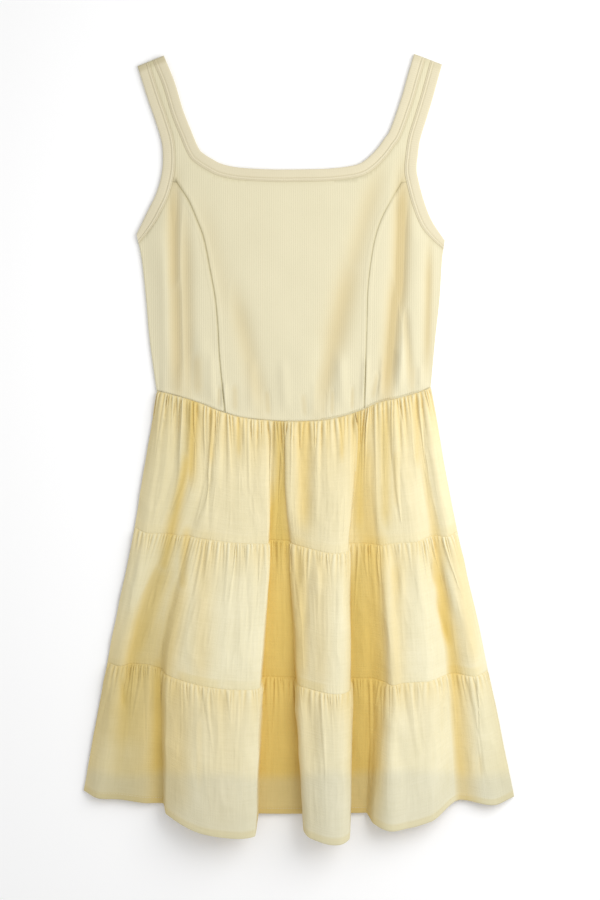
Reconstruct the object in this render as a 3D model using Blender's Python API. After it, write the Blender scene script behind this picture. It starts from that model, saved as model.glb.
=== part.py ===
"""A tiered sundress laid flat on its back, straps towards +Y, as closed cloth walls.

Sizes in the tables are millimetres in the part's own frame: +X to the right of the front, +Y to the straps,
+Z up from the surface that the dress lies on. The origin is the middle of the dress, on that surface.
"""

import math
from collections import namedtuple

import bmesh
import bpy
import numpy as np
from mathutils import Vector
from mathutils.geometry import delaunay_2d_cdt

MM = 0.001

# Cloth walls and the gaps between pieces
SEAM_GAP = 0.3
BODICE_WALL = 1.5
BINDING_WIDTH = 14.0
BINDING_RAISE = 0.5
SKIRT_WALL = 1.2
BACK_SKIRT_WALL = 1.0
LINING_WALL = 1.0
HEM_FOLD = 7.0
HEM_RAISE = 0.5

# Layers, from the surface up
LINING_BACK_UNDER = BACK_SKIRT_WALL + SEAM_GAP
LINING_FRONT_UNDER = LINING_BACK_UNDER + LINING_WALL + SEAM_GAP
FRONT_BODICE_LOW = BODICE_WALL + SEAM_GAP + BODICE_WALL / 2
LOW = 4.8

# How full the front lies above the back, and how wide the slope is at the side seams
BODICE_FULLNESS = 4.2
NECK_FULLNESS = 0.3
SIDE_SLOPE = 30.0
NECK_EASE = 80.0
WAIST_REACH = 28.0

# Ribs of the jersey, raised on the outer face of the front panels
RIB_PITCH = 2.5
RIB_HEIGHT = 0.4

# Lining and back pieces, measured against the front's edges
BACK_INSET = 1.0
BACK_PANEL_INSET = 0.1
LINING_HEM_Y = -369.0
LINING_FLARE = 3.0
LINING_LAST_ROW = 12.0
BACK_HEM_INSET = 4.0

# Mesh steps: a lattice has its steps across and down, and the shift of every second row
Lattice = namedtuple("Lattice", "across down shift")
OUTLINE_STEP = 11.0
RIBS = Lattice(RIB_PITCH / 2, 20.0, 0.0)
INSIDE = Lattice(2 * RIB_PITCH, 20.0, 0.0)
BAND = Lattice(16.0, 16.0, 8.0)
BODICE_BACK = Lattice(64.0, 64.0, 32.0)
SKIRT_BACK = Lattice(96.0, 96.0, 48.0)
BACK_COLUMNS = 22
LINING_COLUMNS = 24
LINING_LEVELS = (0.25, 2.75, 11)

# Outline of the bodice, from the top of each strap down
NECK_EDGE = (
    (-154, 450), (-142, 421), (-132, 388), (-123, 365), (-114, 344), (-107, 337), (-99, 332),
    (-87, 326), (-67, 322), (-32, 320), (2, 320), (36, 321), (65, 325), (78, 332), (90, 344),
    (98, 355), (105, 366), (117, 400), (125, 428), (132, 452),
)
ARMHOLE_LEFT = (
    (-184, 438), (-172, 400), (-164, 377), (-157, 354), (-155, 337), (-156, 317), (-162, 294),
    (-172, 273), (-185, 246),
)
ARMHOLE_RIGHT = (
    (164, 440), (153, 400), (146, 377), (139, 354), (136, 333), (135, 320), (137, 308),
    (143, 285), (152, 262), (167, 239),
)
SIDE_LEFT = ((-185, 246), (-179, 217), (-174, 171), (-170, 125), (-162, 67))
SIDE_RIGHT = ((167, 239), (164, 217), (161, 171), (156, 125), (151, 71))
PRINCESS_LEFT = (
    (-140, 306), (-126, 285), (-116, 262), (-108, 240), (-101, 205), (-95, 171), (-92, 137),
    (-90, 102), (-84, 43),
)
PRINCESS_RIGHT = (
    (118, 306), (103, 280), (94, 262), (87, 240), (82, 211), (79, 182), (78, 148), (77, 114),
    (75, 47),
)
WAIST_SEAM = (
    (-161, 67), (-135, 60), (-113, 53), (-90, 44), (-67, 37), (-44, 34), (-10, 32), (25, 33),
    (47, 37), (70, 44), (93, 54), (116, 59), (139, 66), (151, 71),
)

# Level lines of the skirt where the cloth lies low; a raised fold reaches lower by its drop
SEAM_1 = ((-188, -91), (-150, -96), (-30, -103), (70, -107), (130, -101), (183, -95))
SEAM_2 = ((-219, -245), (-177, -244), (-150, -251), (-70, -258), (70, -261), (145, -256), (217, -254))
HEM = (
    (-246, -392), (-203, -397), (-154, -404), (-110, -412), (-20, -416), (70, -415), (125, -413),
    (150, -408), (185, -399), (246, -399),
)
Level = namedtuple("Level", "line drop")
LEVELS = (Level(WAIST_SEAM, 0.0), Level(SEAM_1, 0.7), Level(SEAM_2, 0.6), Level(HEM, 0.8))

# Lines that run down the skirt: x at five levels, height of the cloth at four, facets to the next line
Fold = namedtuple("Fold", "name x_waist x_tier_1 x_seam_1 x_seam_2 x_hem z_waist z_seam_1 z_seam_2 z_hem steps")
FOLDS = (
    Fold("left edge", -161, -174, -187, -218, -245, 2.0, 2.0, 2.0, 2.0, 2),
    Fold("left roll", -152, -163, -173, -203, -227, 6.0, 8.0, 9.0, 10.0, 2),
    Fold("left valley", -124, -125, -150, -191, -203, 4.8, 4.8, 5.2, 8.0, 2),
    Fold("left ridge", -116, -115, -136, -175, -179, 6.5, 10.0, 13.0, 13.0, 2),
    Fold("second valley", -109, -109, -125, -157, -154, 5.4, 5.6, 5.8, 5.0, 2),
    Fold("first ridge, left edge", -103, -102, -116, -149, -150, 6.8, 8.0, 15.0, 18.0, 6),
    Fold("first ridge, crown", -64, -64, -61, -71, -73, 7.4, 13.0, 30.0, 38.0, 3),
    Fold("first ridge, right edge", -37, -35, -35, -45, -50, 7.0, 12.0, 26.0, 34.0, 3),
    Fold("first deep valley, left foot", -28, -31, -32, -41, -46, 4.8, 4.8, 4.8, 4.8, 3),
    Fold("first deep valley, right foot", -15, -17, -13, -5, 3, 4.8, 4.8, 4.8, 4.8, 3),
    Fold("second ridge, left edge", -12, -13, -9, -1, 7, 6.8, 13.0, 20.0, 28.0, 2),
    Fold("second ridge, shoulder", 8, 8, 5, 11, 18, 6.8, 15.0, 24.0, 38.0, 3),
    Fold("second ridge, crown", 42, 44, 42, 43, 42, 7.4, 22.0, 33.0, 45.0, 2),
    Fold("second ridge, right edge", 66, 63, 58, 59, 58, 6.8, 18.0, 27.0, 38.0, 3),
    Fold("second deep valley, left foot", 70, 67, 61, 62, 61, 4.8, 4.8, 4.8, 4.8, 2),
    Fold("second deep valley, right foot", 77, 74, 74, 86, 78, 4.8, 4.8, 4.8, 4.8, 2),
    Fold("third ridge, left edge", 81, 78, 80, 90, 82, 6.6, 9.0, 16.0, 22.0, 2),
    Fold("third ridge, crown", 89, 90, 91, 105, 107, 7.0, 11.0, 24.0, 30.0, 2),
    Fold("third valley", 97, 98, 102, 118, 125, 4.8, 5.5, 15.0, 26.0, 2),
    Fold("right ridge", 116, 122, 132, 145, 150, 7.0, 12.0, 19.0, 24.0, 3),
    Fold("right valley", 132, 142, 155, 176, 185, 4.8, 5.0, 5.5, 6.0, 3),
    Fold("right roll", 143, 155, 170, 201, 221, 6.0, 9.0, 12.0, 13.0, 2),
    Fold("right edge", 151, 165, 181, 216, 246, 2.0, 2.0, 2.0, 2.0, 0),
)
X_LEVELS = (0.0, 0.5, 1.0, 2.0, 3.0)
Z_LEVELS = (0.0, 1.0, 2.0, 3.0)

# Gathers under each seam, and how each tier puffs out between its seams
Tier = namedtuple("Tier", "name gathers puff")
TIERS = (
    Tier("skirt_tier_1_front", 46, 1.0),
    Tier("skirt_tier_2_front", 52, 1.5),
    Tier("skirt_tier_3_front", 58, 1.5),
)
GATHER_HEIGHT = 1.3
GATHER_ROWS = ((0.0, 0.6), (7.0, 1.0), (20.0, 0.6))
GATHER_DRIFT = 0.10
GATHER_WAVES = 7
GATHER_UNEVEN = 0.28
PLAIN_ROWS = (0.28, 0.42, 0.58, 0.76, 1.0)
PUFF_RISE = 0.6

# Soft troughs and ridges of the bodice front: a straight line each, with a width and a depth
Crease = namedtuple("Crease", "x_top y_top x_end y_end width depth")
CREASES = (
    Crease(-138, 285, -138, 171, 14, -2.4),
    Crease(-138, 171, -144, 80, 13, -2.2),
    Crease(119, 265, 118, 171, 15, -3.0),
    Crease(118, 171, 99, 62, 10, -2.0),
    Crease(118, 171, 130, 78, 10, -2.0),
    Crease(148, 217, 145, 90, 8, -1.4),
    Crease(70, 240, 42, 125, 18, -1.4),
    Crease(42, 125, 36, 50, 15, -1.4),
    Crease(-42, 125, -33, 50, 11, -1.0),
    Crease(12, 115, 0, 62, 26, 1.0),
)

# Colours from the photo, as Blender's linear values
BODICE_COLOUR = (0.80, 0.75, 0.52, 1.0)
BINDING_COLOUR = (0.78, 0.72, 0.50, 1.0)
SKIRT_COLOUR = (0.86, 0.76, 0.47, 1.0)
LINING_COLOUR = (0.82, 0.74, 0.50, 1.0)
CLOTH_ROUGHNESS = 0.9


def clear_scene():
    for obj in list(bpy.data.objects):
        bpy.data.objects.remove(obj, do_unlink=True)


def cloth_material(name, colour):
    material = bpy.data.materials.new(name)
    material.use_nodes = True
    shader = material.node_tree.nodes["Principled BSDF"]
    shader.inputs["Base Color"].default_value = colour
    shader.inputs["Roughness"].default_value = CLOTH_ROUGHNESS
    shader.inputs["Metallic"].default_value = 0.0
    material.diffuse_color = colour
    return material


def smooth_through(knots, values, at):
    """Values at `at` on a cubic through the knots that never overshoots between two of them."""
    knots = np.asarray(knots, float)
    values = np.asarray(values, float)
    steps = np.diff(knots)
    rises = np.diff(values) / steps
    slopes = np.zeros(len(knots))
    for i in range(1, len(knots) - 1):
        before, after = rises[i - 1], rises[i]
        if before * after > 0:
            first = 2 * steps[i] + steps[i - 1]
            second = steps[i] + 2 * steps[i - 1]
            slopes[i] = (first + second) / (first / before + second / after)
    slopes[0], slopes[-1] = rises[0], rises[-1]
    at = np.clip(at, knots[0], knots[-1])
    i = np.clip(np.searchsorted(knots, at, side="right") - 1, 0, len(steps) - 1)
    t = (at - knots[i]) / steps[i]
    return (
        values[i] * (1 + 2 * t) * (1 - t) ** 2
        + values[i + 1] * t * t * (3 - 2 * t)
        + steps[i] * (slopes[i] * t * (1 - t) ** 2 - slopes[i + 1] * t * t * (1 - t))
    )


def line_at(line, at):
    return smooth_through([x for x, _ in line], [y for _, y in line], at)


def smoothstep(start, end, value):
    t = np.clip((value - start) / (end - start), 0.0, 1.0)
    return t * t * (3 - 2 * t)


def curve(points, step=OUTLINE_STEP):
    """An even polyline along a rounded curve through the points."""
    points = np.asarray(points, float)
    ends = np.vstack([2 * points[0] - points[1], points, 2 * points[-1] - points[-2]])
    dense = []
    for a, b, c, d in zip(ends, ends[1:], ends[2:], ends[3:]):
        for t in np.linspace(0, 1, 12, endpoint=False):
            dense.append(
                0.5 * (2 * b + (c - a) * t + (2 * a - 5 * b + 4 * c - d) * t**2 + (3 * b - a - 3 * c + d) * t**3)
            )
    dense = np.array(dense + [points[-1]])
    along = np.concatenate([[0], np.cumsum(np.linalg.norm(np.diff(dense, axis=0), axis=1))])
    even = np.linspace(0, along[-1], max(2, round(along[-1] / step) + 1))
    return np.column_stack([np.interp(even, along, dense[:, 0]), np.interp(even, along, dense[:, 1])])


def moved_left(points, distance):
    """The polyline moved to the left of its own direction."""
    ahead = np.gradient(points, axis=0)
    ahead /= np.linalg.norm(ahead, axis=1)[:, None]
    return points + distance * np.column_stack([-ahead[:, 1], ahead[:, 0]])


def inset(outline, distance):
    """A closed outline, counter-clockwise, moved inwards with sharp corners kept."""
    before = outline - np.roll(outline, 1, axis=0)
    after = np.roll(outline, -1, axis=0) - outline
    before /= np.linalg.norm(before, axis=1)[:, None]
    after /= np.linalg.norm(after, axis=1)[:, None]
    inward = np.column_stack([-(before + after)[:, 1], (before + after)[:, 0]])
    inward /= np.linalg.norm(inward, axis=1)[:, None]
    cosine = np.clip(inward[:, 1] * after[:, 0] - inward[:, 0] * after[:, 1], 0.4, 1.0)
    return outline + inward * (distance / cosine)[:, None]


def distance_to(outline, points):
    """Distance from each point to the polyline."""
    best = np.full(len(points), np.inf)
    for a, b in zip(outline[:-1], outline[1:]):
        along = b - a
        t = np.clip(((points - a) @ along) / (along @ along), 0, 1)
        best = np.minimum(best, np.linalg.norm(points - a - t[:, None] * along, axis=1))
    return best


def inside(outline, points):
    """Whether each point is inside the closed outline."""
    odd = np.zeros(len(points), bool)
    for a, b in zip(outline, np.roll(outline, -1, axis=0)):
        crosses = (a[1] > points[:, 1]) != (b[1] > points[:, 1])
        rise = b[1] - a[1] if b[1] != a[1] else 1.0
        odd ^= crosses & (points[:, 0] < a[0] + (points[:, 1] - a[1]) * (b[0] - a[0]) / rise)
    return odd


def filled(outline, lattice):
    """Points and triangles that fill the outline: its own points come first, then those of the lattice."""
    steps = np.array([lattice.across, lattice.down])
    low, high = np.ceil(outline.min(axis=0) / steps), np.floor(outline.max(axis=0) / steps)
    spots = [
        (i * lattice.across + (j % 2) * lattice.shift, j * lattice.down)
        for j in np.arange(low[1], high[1] + 1)
        for i in np.arange(low[0], high[0] + 1)
    ]
    spots = np.array(spots).reshape(-1, 2)
    square = lattice.down / steps
    closed = np.vstack([outline, outline[:1]]) * square
    clear = distance_to(closed, spots * square) > 0.5 * lattice.down
    points = np.vstack([outline, spots[inside(outline, spots) & clear]])
    made = delaunay_2d_cdt([Vector(p) for p in points * square], [], [list(range(len(outline)))], 1, 1e-5)
    return points, [tuple(face) for face in made[2]]


def add_body(name, points, faces, material):
    """One closed mesh object from points in millimetres, its faces turned outwards."""
    mesh = bpy.data.meshes.new(name)
    mesh.from_pydata([tuple(p * MM) for p in points], [], faces)
    body = bmesh.new()
    body.from_mesh(mesh)
    bmesh.ops.recalc_face_normals(body, faces=body.faces)
    body.to_mesh(mesh)
    body.free()
    mesh.shade_smooth()
    mesh.set_sharp_from_angle(angle=math.radians(50))
    mesh.materials.append(material)
    obj = bpy.data.objects.new(name, mesh)
    bpy.context.scene.collection.objects.link(obj)
    return obj


def add_panel(name, outline, lattices, under, over, material):
    """A cloth panel: the outline filled twice, under and over, each on its lattice, and closed round its rim."""
    edge = inset(outline, SEAM_GAP / 2)
    below, below_faces = filled(edge, lattices[0])
    above, above_faces = filled(edge, lattices[1])
    count, size = len(below), len(edge)
    points = np.vstack([
        np.column_stack([below, under(below[:, 0], below[:, 1])]),
        np.column_stack([above, over(above[:, 0], above[:, 1])]),
    ])
    faces = [tuple(reversed(face)) for face in below_faces]
    faces += [tuple(i + count for i in face) for face in above_faces]
    for a in range(size):
        b = (a + 1) % size
        faces.append((a, b, b + count))
        faces.append((a, b + count, a + count))
    return add_body(name, points, faces, material)


def ribbed(over, outline):
    """The outer face raised along each rib, and plain at the panel's own edge."""
    closed = np.vstack([outline, outline[:1]])

    def height(x, y):
        crest = 0.5 + 0.5 * np.cos(2 * math.pi * x / RIB_PITCH)
        from_edge = distance_to(closed, np.column_stack([x, y]))
        return over(x, y) + RIB_HEIGHT * crest * smoothstep(SEAM_GAP, RIB_PITCH, from_edge)

    return height


def fold_columns():
    """For each column down the skirt, the fold line to its left and the share of the way to the next."""
    spots = []
    for i, fold in enumerate(FOLDS):
        spots += [(i, step / fold.steps) for step in range(fold.steps)]
    return spots + [(len(FOLDS) - 1, 0.0)]


def fold_profile(level):
    """x and z of every column at a level: 0 waist, 1 and 2 the seams, 3 the hem."""
    xs = np.array([smooth_through(X_LEVELS, fold[1:6], level) for fold in FOLDS])
    zs = np.array([smooth_through(Z_LEVELS, fold[6:10], level) for fold in FOLDS])
    ahead = np.append(xs[1:], xs[-1])
    x = np.array([xs[i] + share * (ahead[i] - xs[i]) for i, share in fold_columns()])
    return x, smooth_through(xs, zs, x)


def level_y(index, x, z):
    level = LEVELS[index]
    return line_at(level.line, x) - level.drop * (z - LOW)


def across(x, z):
    """Unit vectors in the XZ plane, square to the cross-section, pointing up."""
    along_x, along_z = np.gradient(x), np.gradient(z)
    length = np.hypot(along_x, along_z)
    return -along_z / length, along_x / length


def tier_row(index, share):
    """Points of the wall's middle and its square-out vectors, at a share of the way down a tier."""
    x, z = fold_profile(index + share)
    upper = level_y(index, *fold_profile(float(index))) - SEAM_GAP / 2
    lower = level_y(index + 1, *fold_profile(float(index + 1))) + SEAM_GAP / 2
    z = z + TIERS[index].puff * math.sin(math.pi * share**PUFF_RISE) * smoothstep(FOLDS[0].z_waist, LOW, z)
    out_x, out_z = across(x, z)
    middle = np.column_stack([x, upper + (lower - upper) * share, z])
    return middle, np.column_stack([out_x, np.zeros(len(x)), out_z])


def gather_spots(count):
    """Places across a tier of the troughs and crests of its gathers, from 0 to 1, unevenly spaced."""
    even = np.linspace(0, 1, 2 * count + 1)
    return even + GATHER_DRIFT / count * np.sin(2 * math.pi * GATHER_WAVES * even) * np.sin(math.pi * even)


def gather_heights(count, share):
    """Crest heights of the gathers: every second spot is a crest, and they differ in length and height."""
    spots = np.arange(2 * count + 1)
    crest = spots % 2
    uneven = 1 - GATHER_UNEVEN + GATHER_UNEVEN * np.sin(1.9 * spots) * np.cos(0.7 * spots)
    return GATHER_HEIGHT * crest * uneven * share


def strip(upper, upper_at, lower, lower_at):
    """Triangles between two rows of points that run the same way, each with its own spacing."""
    faces = []
    i = j = 0
    while i < len(upper) - 1 or j < len(lower) - 1:
        step_upper = j == len(lower) - 1 or (i < len(upper) - 1 and upper_at[i + 1] <= lower_at[j + 1])
        if step_upper:
            faces.append((upper[i], lower[j], upper[i + 1]))
            i += 1
        else:
            faces.append((upper[i], lower[j], lower[j + 1]))
            j += 1
    return faces


def add_front_tier(index, material):
    """A gathered tier: coarse columns inside, with fine crests on the outside under its seam."""
    tier = TIERS[index]
    top, _ = tier_row(index, 0.0)
    foot, _ = tier_row(index, 1.0)
    length = np.median(top[:, 1] - foot[:, 1])
    coarse_at = np.linspace(0, 1, len(top))
    fine_at = gather_spots(tier.gathers)
    shares = [(down / length, height) for down, height in GATHER_ROWS] + [(share, 0.0) for share in PLAIN_ROWS]
    if index == len(TIERS) - 1:
        shares.insert(-1, (1.0 - HEM_FOLD / length, 0.0))
    points, outer_rows, inner_rows = [], [], []

    def add_row(row):
        points.extend(row)
        return list(range(len(points) - len(row), len(points)))

    for number, (share, height) in enumerate(shares):
        middle, out = tier_row(index, share)
        raised = SKIRT_WALL / 2 + (HEM_RAISE if index == len(TIERS) - 1 and share > 0.999 else 0.0)
        outside = middle + out * raised
        inner_rows.append(add_row(middle - out * SKIRT_WALL / 2))
        if number >= len(GATHER_ROWS):
            outer_rows.append((add_row(outside), coarse_at))
            continue
        fine = np.column_stack([np.interp(fine_at, coarse_at, outside[:, k]) for k in range(3)])
        fine_out = np.column_stack([np.interp(fine_at, coarse_at, out[:, k]) for k in range(3)])
        fine += fine_out * gather_heights(tier.gathers, height)[:, None]
        outer_rows.append((add_row(fine), fine_at))
    faces = []
    for (upper, upper_at), (lower, lower_at) in zip(outer_rows, outer_rows[1:]):
        faces += strip(upper, upper_at, lower, lower_at)
    for upper, lower in zip(inner_rows, inner_rows[1:]):
        faces += [tuple(reversed(face)) for face in strip(upper, coarse_at, lower, coarse_at)]
    faces += strip(inner_rows[0], coarse_at, *outer_rows[0])
    faces += strip(outer_rows[-1][0], coarse_at, inner_rows[-1], coarse_at)
    for side in (0, -1):
        outer_side = [row[side] for row, _ in outer_rows]
        inner_side = [row[side] for row in inner_rows]
        spots = list(range(len(inner_side)))
        rim = strip(outer_side, spots, inner_side, spots)
        faces += rim if side == 0 else [tuple(reversed(face)) for face in rim]
    return add_body(tier.name, np.array(points), faces, material)


def tier_outline(index, side_inset, foot_inset=0.0):
    """The flat outline of a tier's back: its level lines and its straight sides."""
    xs = np.linspace(-1, 1, BACK_COLUMNS)
    rows = []
    for level, shift in ((index, 0.0), (index + 1, foot_inset)):
        edges = fold_profile(float(level))[0]
        left, right = edges[0] + side_inset, edges[-1] - side_inset
        x = (left + right) / 2 + xs * (right - left) / 2
        rows.append(np.column_stack([x, line_at(LEVELS[level].line, x) + shift]))
    return np.vstack([rows[1], rows[0][::-1]])


def lining_outline():
    """Waist seam down to the lining's own hem, between the two side rolls of the skirt."""
    x = np.linspace(FOLDS[1].x_waist, FOLDS[-2].x_waist, LINING_COLUMNS)
    top = np.column_stack([x, line_at(WAIST_SEAM, x)])
    levels = np.linspace(*LINING_LEVELS)
    sides = {}
    for row in (1, -2):
        line = []
        for level in levels:
            edge_x = float(smooth_through(X_LEVELS, FOLDS[row][1:6], level))
            lower = int(level)
            share = level - lower
            y = (1 - share) * line_at(LEVELS[lower].line, edge_x) + share * line_at(LEVELS[lower + 1].line, edge_x)
            line.append((edge_x, float(y)))
        sides[row] = [p for p in line if p[1] > LINING_HEM_Y + LINING_LAST_ROW]
    left, right = sides[1], sides[-2]
    foot = [(left[-1][0] - LINING_FLARE, LINING_HEM_Y), (right[-1][0] + LINING_FLARE, LINING_HEM_Y)]
    return np.array(left + foot + right[::-1] + [tuple(p) for p in top[::-1]])


def flat(height):
    return lambda x, y: np.full(len(x), float(height))


class BodiceForm:
    """Heights of the bodice front over the table of creases."""

    def __init__(self):
        self.left = np.vstack([curve(ARMHOLE_LEFT), curve(SIDE_LEFT)[1:]])
        self.right = np.vstack([curve(ARMHOLE_RIGHT), curve(SIDE_RIGHT)[1:]])
        self.waist_x, self.waist_z = fold_profile(0.0)

    def middle(self, x, y):
        points = np.column_stack([x, y])
        from_side = np.minimum(distance_to(self.left, points), distance_to(self.right, points))
        neck = line_at(NECK_EDGE[7:13], x)
        full = BODICE_FULLNESS * smoothstep(0, SIDE_SLOPE, from_side)
        full *= NECK_FULLNESS + (1 - NECK_FULLNESS) * smoothstep(0, NECK_EASE, neck - y)
        creased = self.creased(points) * smoothstep(0, SIDE_SLOPE, from_side)
        chest = FRONT_BODICE_LOW + np.maximum(full + creased, 0.0)
        down = (y - line_at(WAIST_SEAM, x)) / WAIST_REACH
        share = np.exp(-down * down)
        seam = np.maximum(smooth_through(self.waist_x, self.waist_z, x), FRONT_BODICE_LOW)
        return chest * (1 - share) + seam * share

    def creased(self, points):
        """The deepest trough and the highest ridge at each point, added up, so that joints get no deeper."""
        trough, ridge = np.zeros(len(points)), np.zeros(len(points))
        for crease in CREASES:
            ends = np.array([(crease.x_top, crease.y_top), (crease.x_end, crease.y_end)], float)
            near = distance_to(ends, points) / crease.width
            height = crease.depth * np.exp(-near * near)
            trough, ridge = np.minimum(trough, height), np.maximum(ridge, height)
        return trough + ridge

    def under(self, x, y):
        return self.middle(x, y) - BODICE_WALL / 2

    def over(self, x, y):
        return self.middle(x, y) + BODICE_WALL / 2

    def over_binding(self, x, y):
        return self.over(x, y) + BINDING_RAISE


def bodice_lines():
    """Edges and seams of the bodice, as even polylines."""
    neck = curve(NECK_EDGE)
    left, right = curve(ARMHOLE_LEFT), curve(ARMHOLE_RIGHT)
    return {
        "neck": neck,
        "neck seam": moved_left(neck, -BINDING_WIDTH),
        "left": left,
        "left seam": moved_left(left, BINDING_WIDTH),
        "right": right,
        "right seam": moved_left(right, -BINDING_WIDTH),
    }


def cut_at(line, start):
    """The part of a falling polyline from the height `start` down, beginning exactly there."""
    x = np.interp(-start, -line[:, 1], line[:, 0])
    return np.vstack([[x, start], line[line[:, 1] < start - 1.0]])


def cut_above(line, end):
    """The part of a falling polyline above the height `end`, ending exactly there."""
    x = np.interp(-end, -line[:, 1], line[:, 0])
    return np.vstack([line[line[:, 1] > end + 1.0], [x, end]])


def waist_between(left_x, right_x):
    x = np.linspace(left_x, right_x, max(2, round((right_x - left_x) / OUTLINE_STEP) + 1))
    return np.column_stack([x, line_at(WAIST_SEAM, x)])


def add_bodice(form, bodice, binding):
    lines = bodice_lines()
    princess_left, princess_right = curve(PRINCESS_LEFT), curve(PRINCESS_RIGHT)
    left_y, right_y = PRINCESS_LEFT[0][1], PRINCESS_RIGHT[0][1]
    waist = waist_between(princess_left[-1][0], princess_right[-1][0])
    centre = np.vstack([
        cut_above(lines["left seam"], left_y), princess_left[1:-1], waist,
        princess_right[1:-1][::-1], cut_above(lines["right seam"], right_y)[::-1], lines["neck seam"][::-1],
    ])
    side_left = np.vstack([
        curve(SIDE_LEFT)[:-1], waist_between(SIDE_LEFT[-1][0], princess_left[-1][0]),
        princess_left[1:-1][::-1], cut_at(lines["left seam"], left_y),
    ])
    side_right = np.vstack([
        curve(SIDE_RIGHT)[:-1], waist_between(princess_right[-1][0], SIDE_RIGHT[-1][0])[::-1],
        princess_right[1:-1][::-1], cut_at(lines["right seam"], right_y),
    ])[::-1]
    panels = {
        "bodice_front_centre": centre,
        "bodice_front_side_left": side_left,
        "bodice_front_side_right": side_right,
    }
    for name, panel in panels.items():
        add_panel(name, panel, (INSIDE, RIBS), form.under, ribbed(form.over, panel), bodice)
    bands = {
        "neck_binding": np.vstack([lines["neck seam"], lines["neck"][::-1]]),
        "armhole_binding_left": np.vstack([lines["left"], lines["left seam"][::-1]]),
        "armhole_binding_right": np.vstack([lines["right seam"], lines["right"][::-1]]),
    }
    for name, band in bands.items():
        add_panel(name + "_front", band, (BAND, BAND), form.under, form.over_binding, binding)
        back_band = inset(band, BACK_INSET / 2)
        add_panel(name + "_back", back_band, (BAND, BAND), flat(0.0), flat(BODICE_WALL), binding)
    back = np.vstack([
        lines["left seam"], curve(SIDE_LEFT)[1:-1], waist_between(SIDE_LEFT[-1][0], SIDE_RIGHT[-1][0]),
        curve(SIDE_RIGHT)[1:-1][::-1], lines["right seam"][::-1], lines["neck seam"][::-1],
    ])
    back = inset(back, BACK_PANEL_INSET)
    add_panel("bodice_back", back, (BODICE_BACK, BODICE_BACK), flat(0.0), flat(BODICE_WALL), bodice)


def add_skirt(skirt, lining):
    plain = (SKIRT_BACK, SKIRT_BACK)
    for index in range(len(TIERS)):
        add_front_tier(index, skirt)
        foot = BACK_HEM_INSET if index == len(TIERS) - 1 else 0.0
        outline = tier_outline(index, BACK_INSET, foot_inset=foot)
        name = TIERS[index].name.replace("front", "back")
        add_panel(name, outline, plain, flat(0.0), flat(BACK_SKIRT_WALL), skirt)
    for name, under in (("lining_back", LINING_BACK_UNDER), ("lining_front", LINING_FRONT_UNDER)):
        add_panel(name, lining_outline(), plain, flat(under), flat(under + LINING_WALL), lining)


def main():
    clear_scene()
    form = BodiceForm()
    add_bodice(form, cloth_material("rib jersey", BODICE_COLOUR), cloth_material("rib binding", BINDING_COLOUR))
    add_skirt(cloth_material("voile", SKIRT_COLOUR), cloth_material("lining", LINING_COLOUR))


main()
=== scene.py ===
"""The looks of a tiered sundress laid flat on its back: ribbed bodice, gathered voile skirt and lining.

Tables are in millimetres in the part's own frame: +X to the right of the front, +Y to the straps, +Z up.
"""

import math
from collections import namedtuple

import bmesh
import bpy
import numpy as np
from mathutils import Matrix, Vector
from mathutils.geometry import delaunay_2d_cdt


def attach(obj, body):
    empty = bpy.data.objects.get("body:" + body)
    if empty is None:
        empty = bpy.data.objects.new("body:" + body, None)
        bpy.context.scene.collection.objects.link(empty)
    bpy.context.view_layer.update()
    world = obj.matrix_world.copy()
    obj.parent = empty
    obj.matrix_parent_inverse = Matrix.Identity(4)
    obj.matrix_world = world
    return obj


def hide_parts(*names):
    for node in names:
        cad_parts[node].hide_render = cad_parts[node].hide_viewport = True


bl_info = {
    "name": "Tiered sundress",
    "version": (1, 0, 0),
    "blender": (4, 5, 0),
    "location": "3D View > Sidebar > Sundress",
    "description": "Builds the cloth, seams and stitches of a sundress laid flat, around its packed frame",
    "category": "Object",
}

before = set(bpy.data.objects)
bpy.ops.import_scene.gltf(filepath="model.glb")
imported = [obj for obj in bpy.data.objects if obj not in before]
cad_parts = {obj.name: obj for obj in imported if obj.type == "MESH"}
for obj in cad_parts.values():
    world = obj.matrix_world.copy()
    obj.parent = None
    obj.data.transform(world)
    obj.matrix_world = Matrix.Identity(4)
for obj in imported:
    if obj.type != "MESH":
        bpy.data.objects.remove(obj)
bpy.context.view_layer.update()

MM = 0.001
BODY = "root"

# Cloth walls and the gaps between pieces
SEAM_GAP = 0.3
BODICE_WALL = 1.5
BINDING_WIDTH = 14.0
BINDING_RAISE = 0.5
SKIRT_WALL = 1.2
BACK_SKIRT_WALL = 1.0
LINING_WALL = 1.0

# Layers, from the surface up
LINING_BACK_UNDER = BACK_SKIRT_WALL + SEAM_GAP
LINING_FRONT_UNDER = LINING_BACK_UNDER + LINING_WALL + SEAM_GAP
FRONT_BODICE_LOW = BODICE_WALL + SEAM_GAP + BODICE_WALL / 2
LOW = 4.8

# How full the bodice front lies above the back, and how wide the slope is at the side seams
BODICE_FULLNESS = 4.2
NECK_FULLNESS = 0.3
SIDE_SLOPE = 30.0
NECK_EASE = 80.0
WAIST_REACH = 28.0

# Lining and back pieces, measured against the front's edges
BACK_INSET = 1.0
BACK_PANEL_INSET = 0.1
LINING_HEM_Y = -369.0
BACK_HEM_INSET = 4.0

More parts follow.
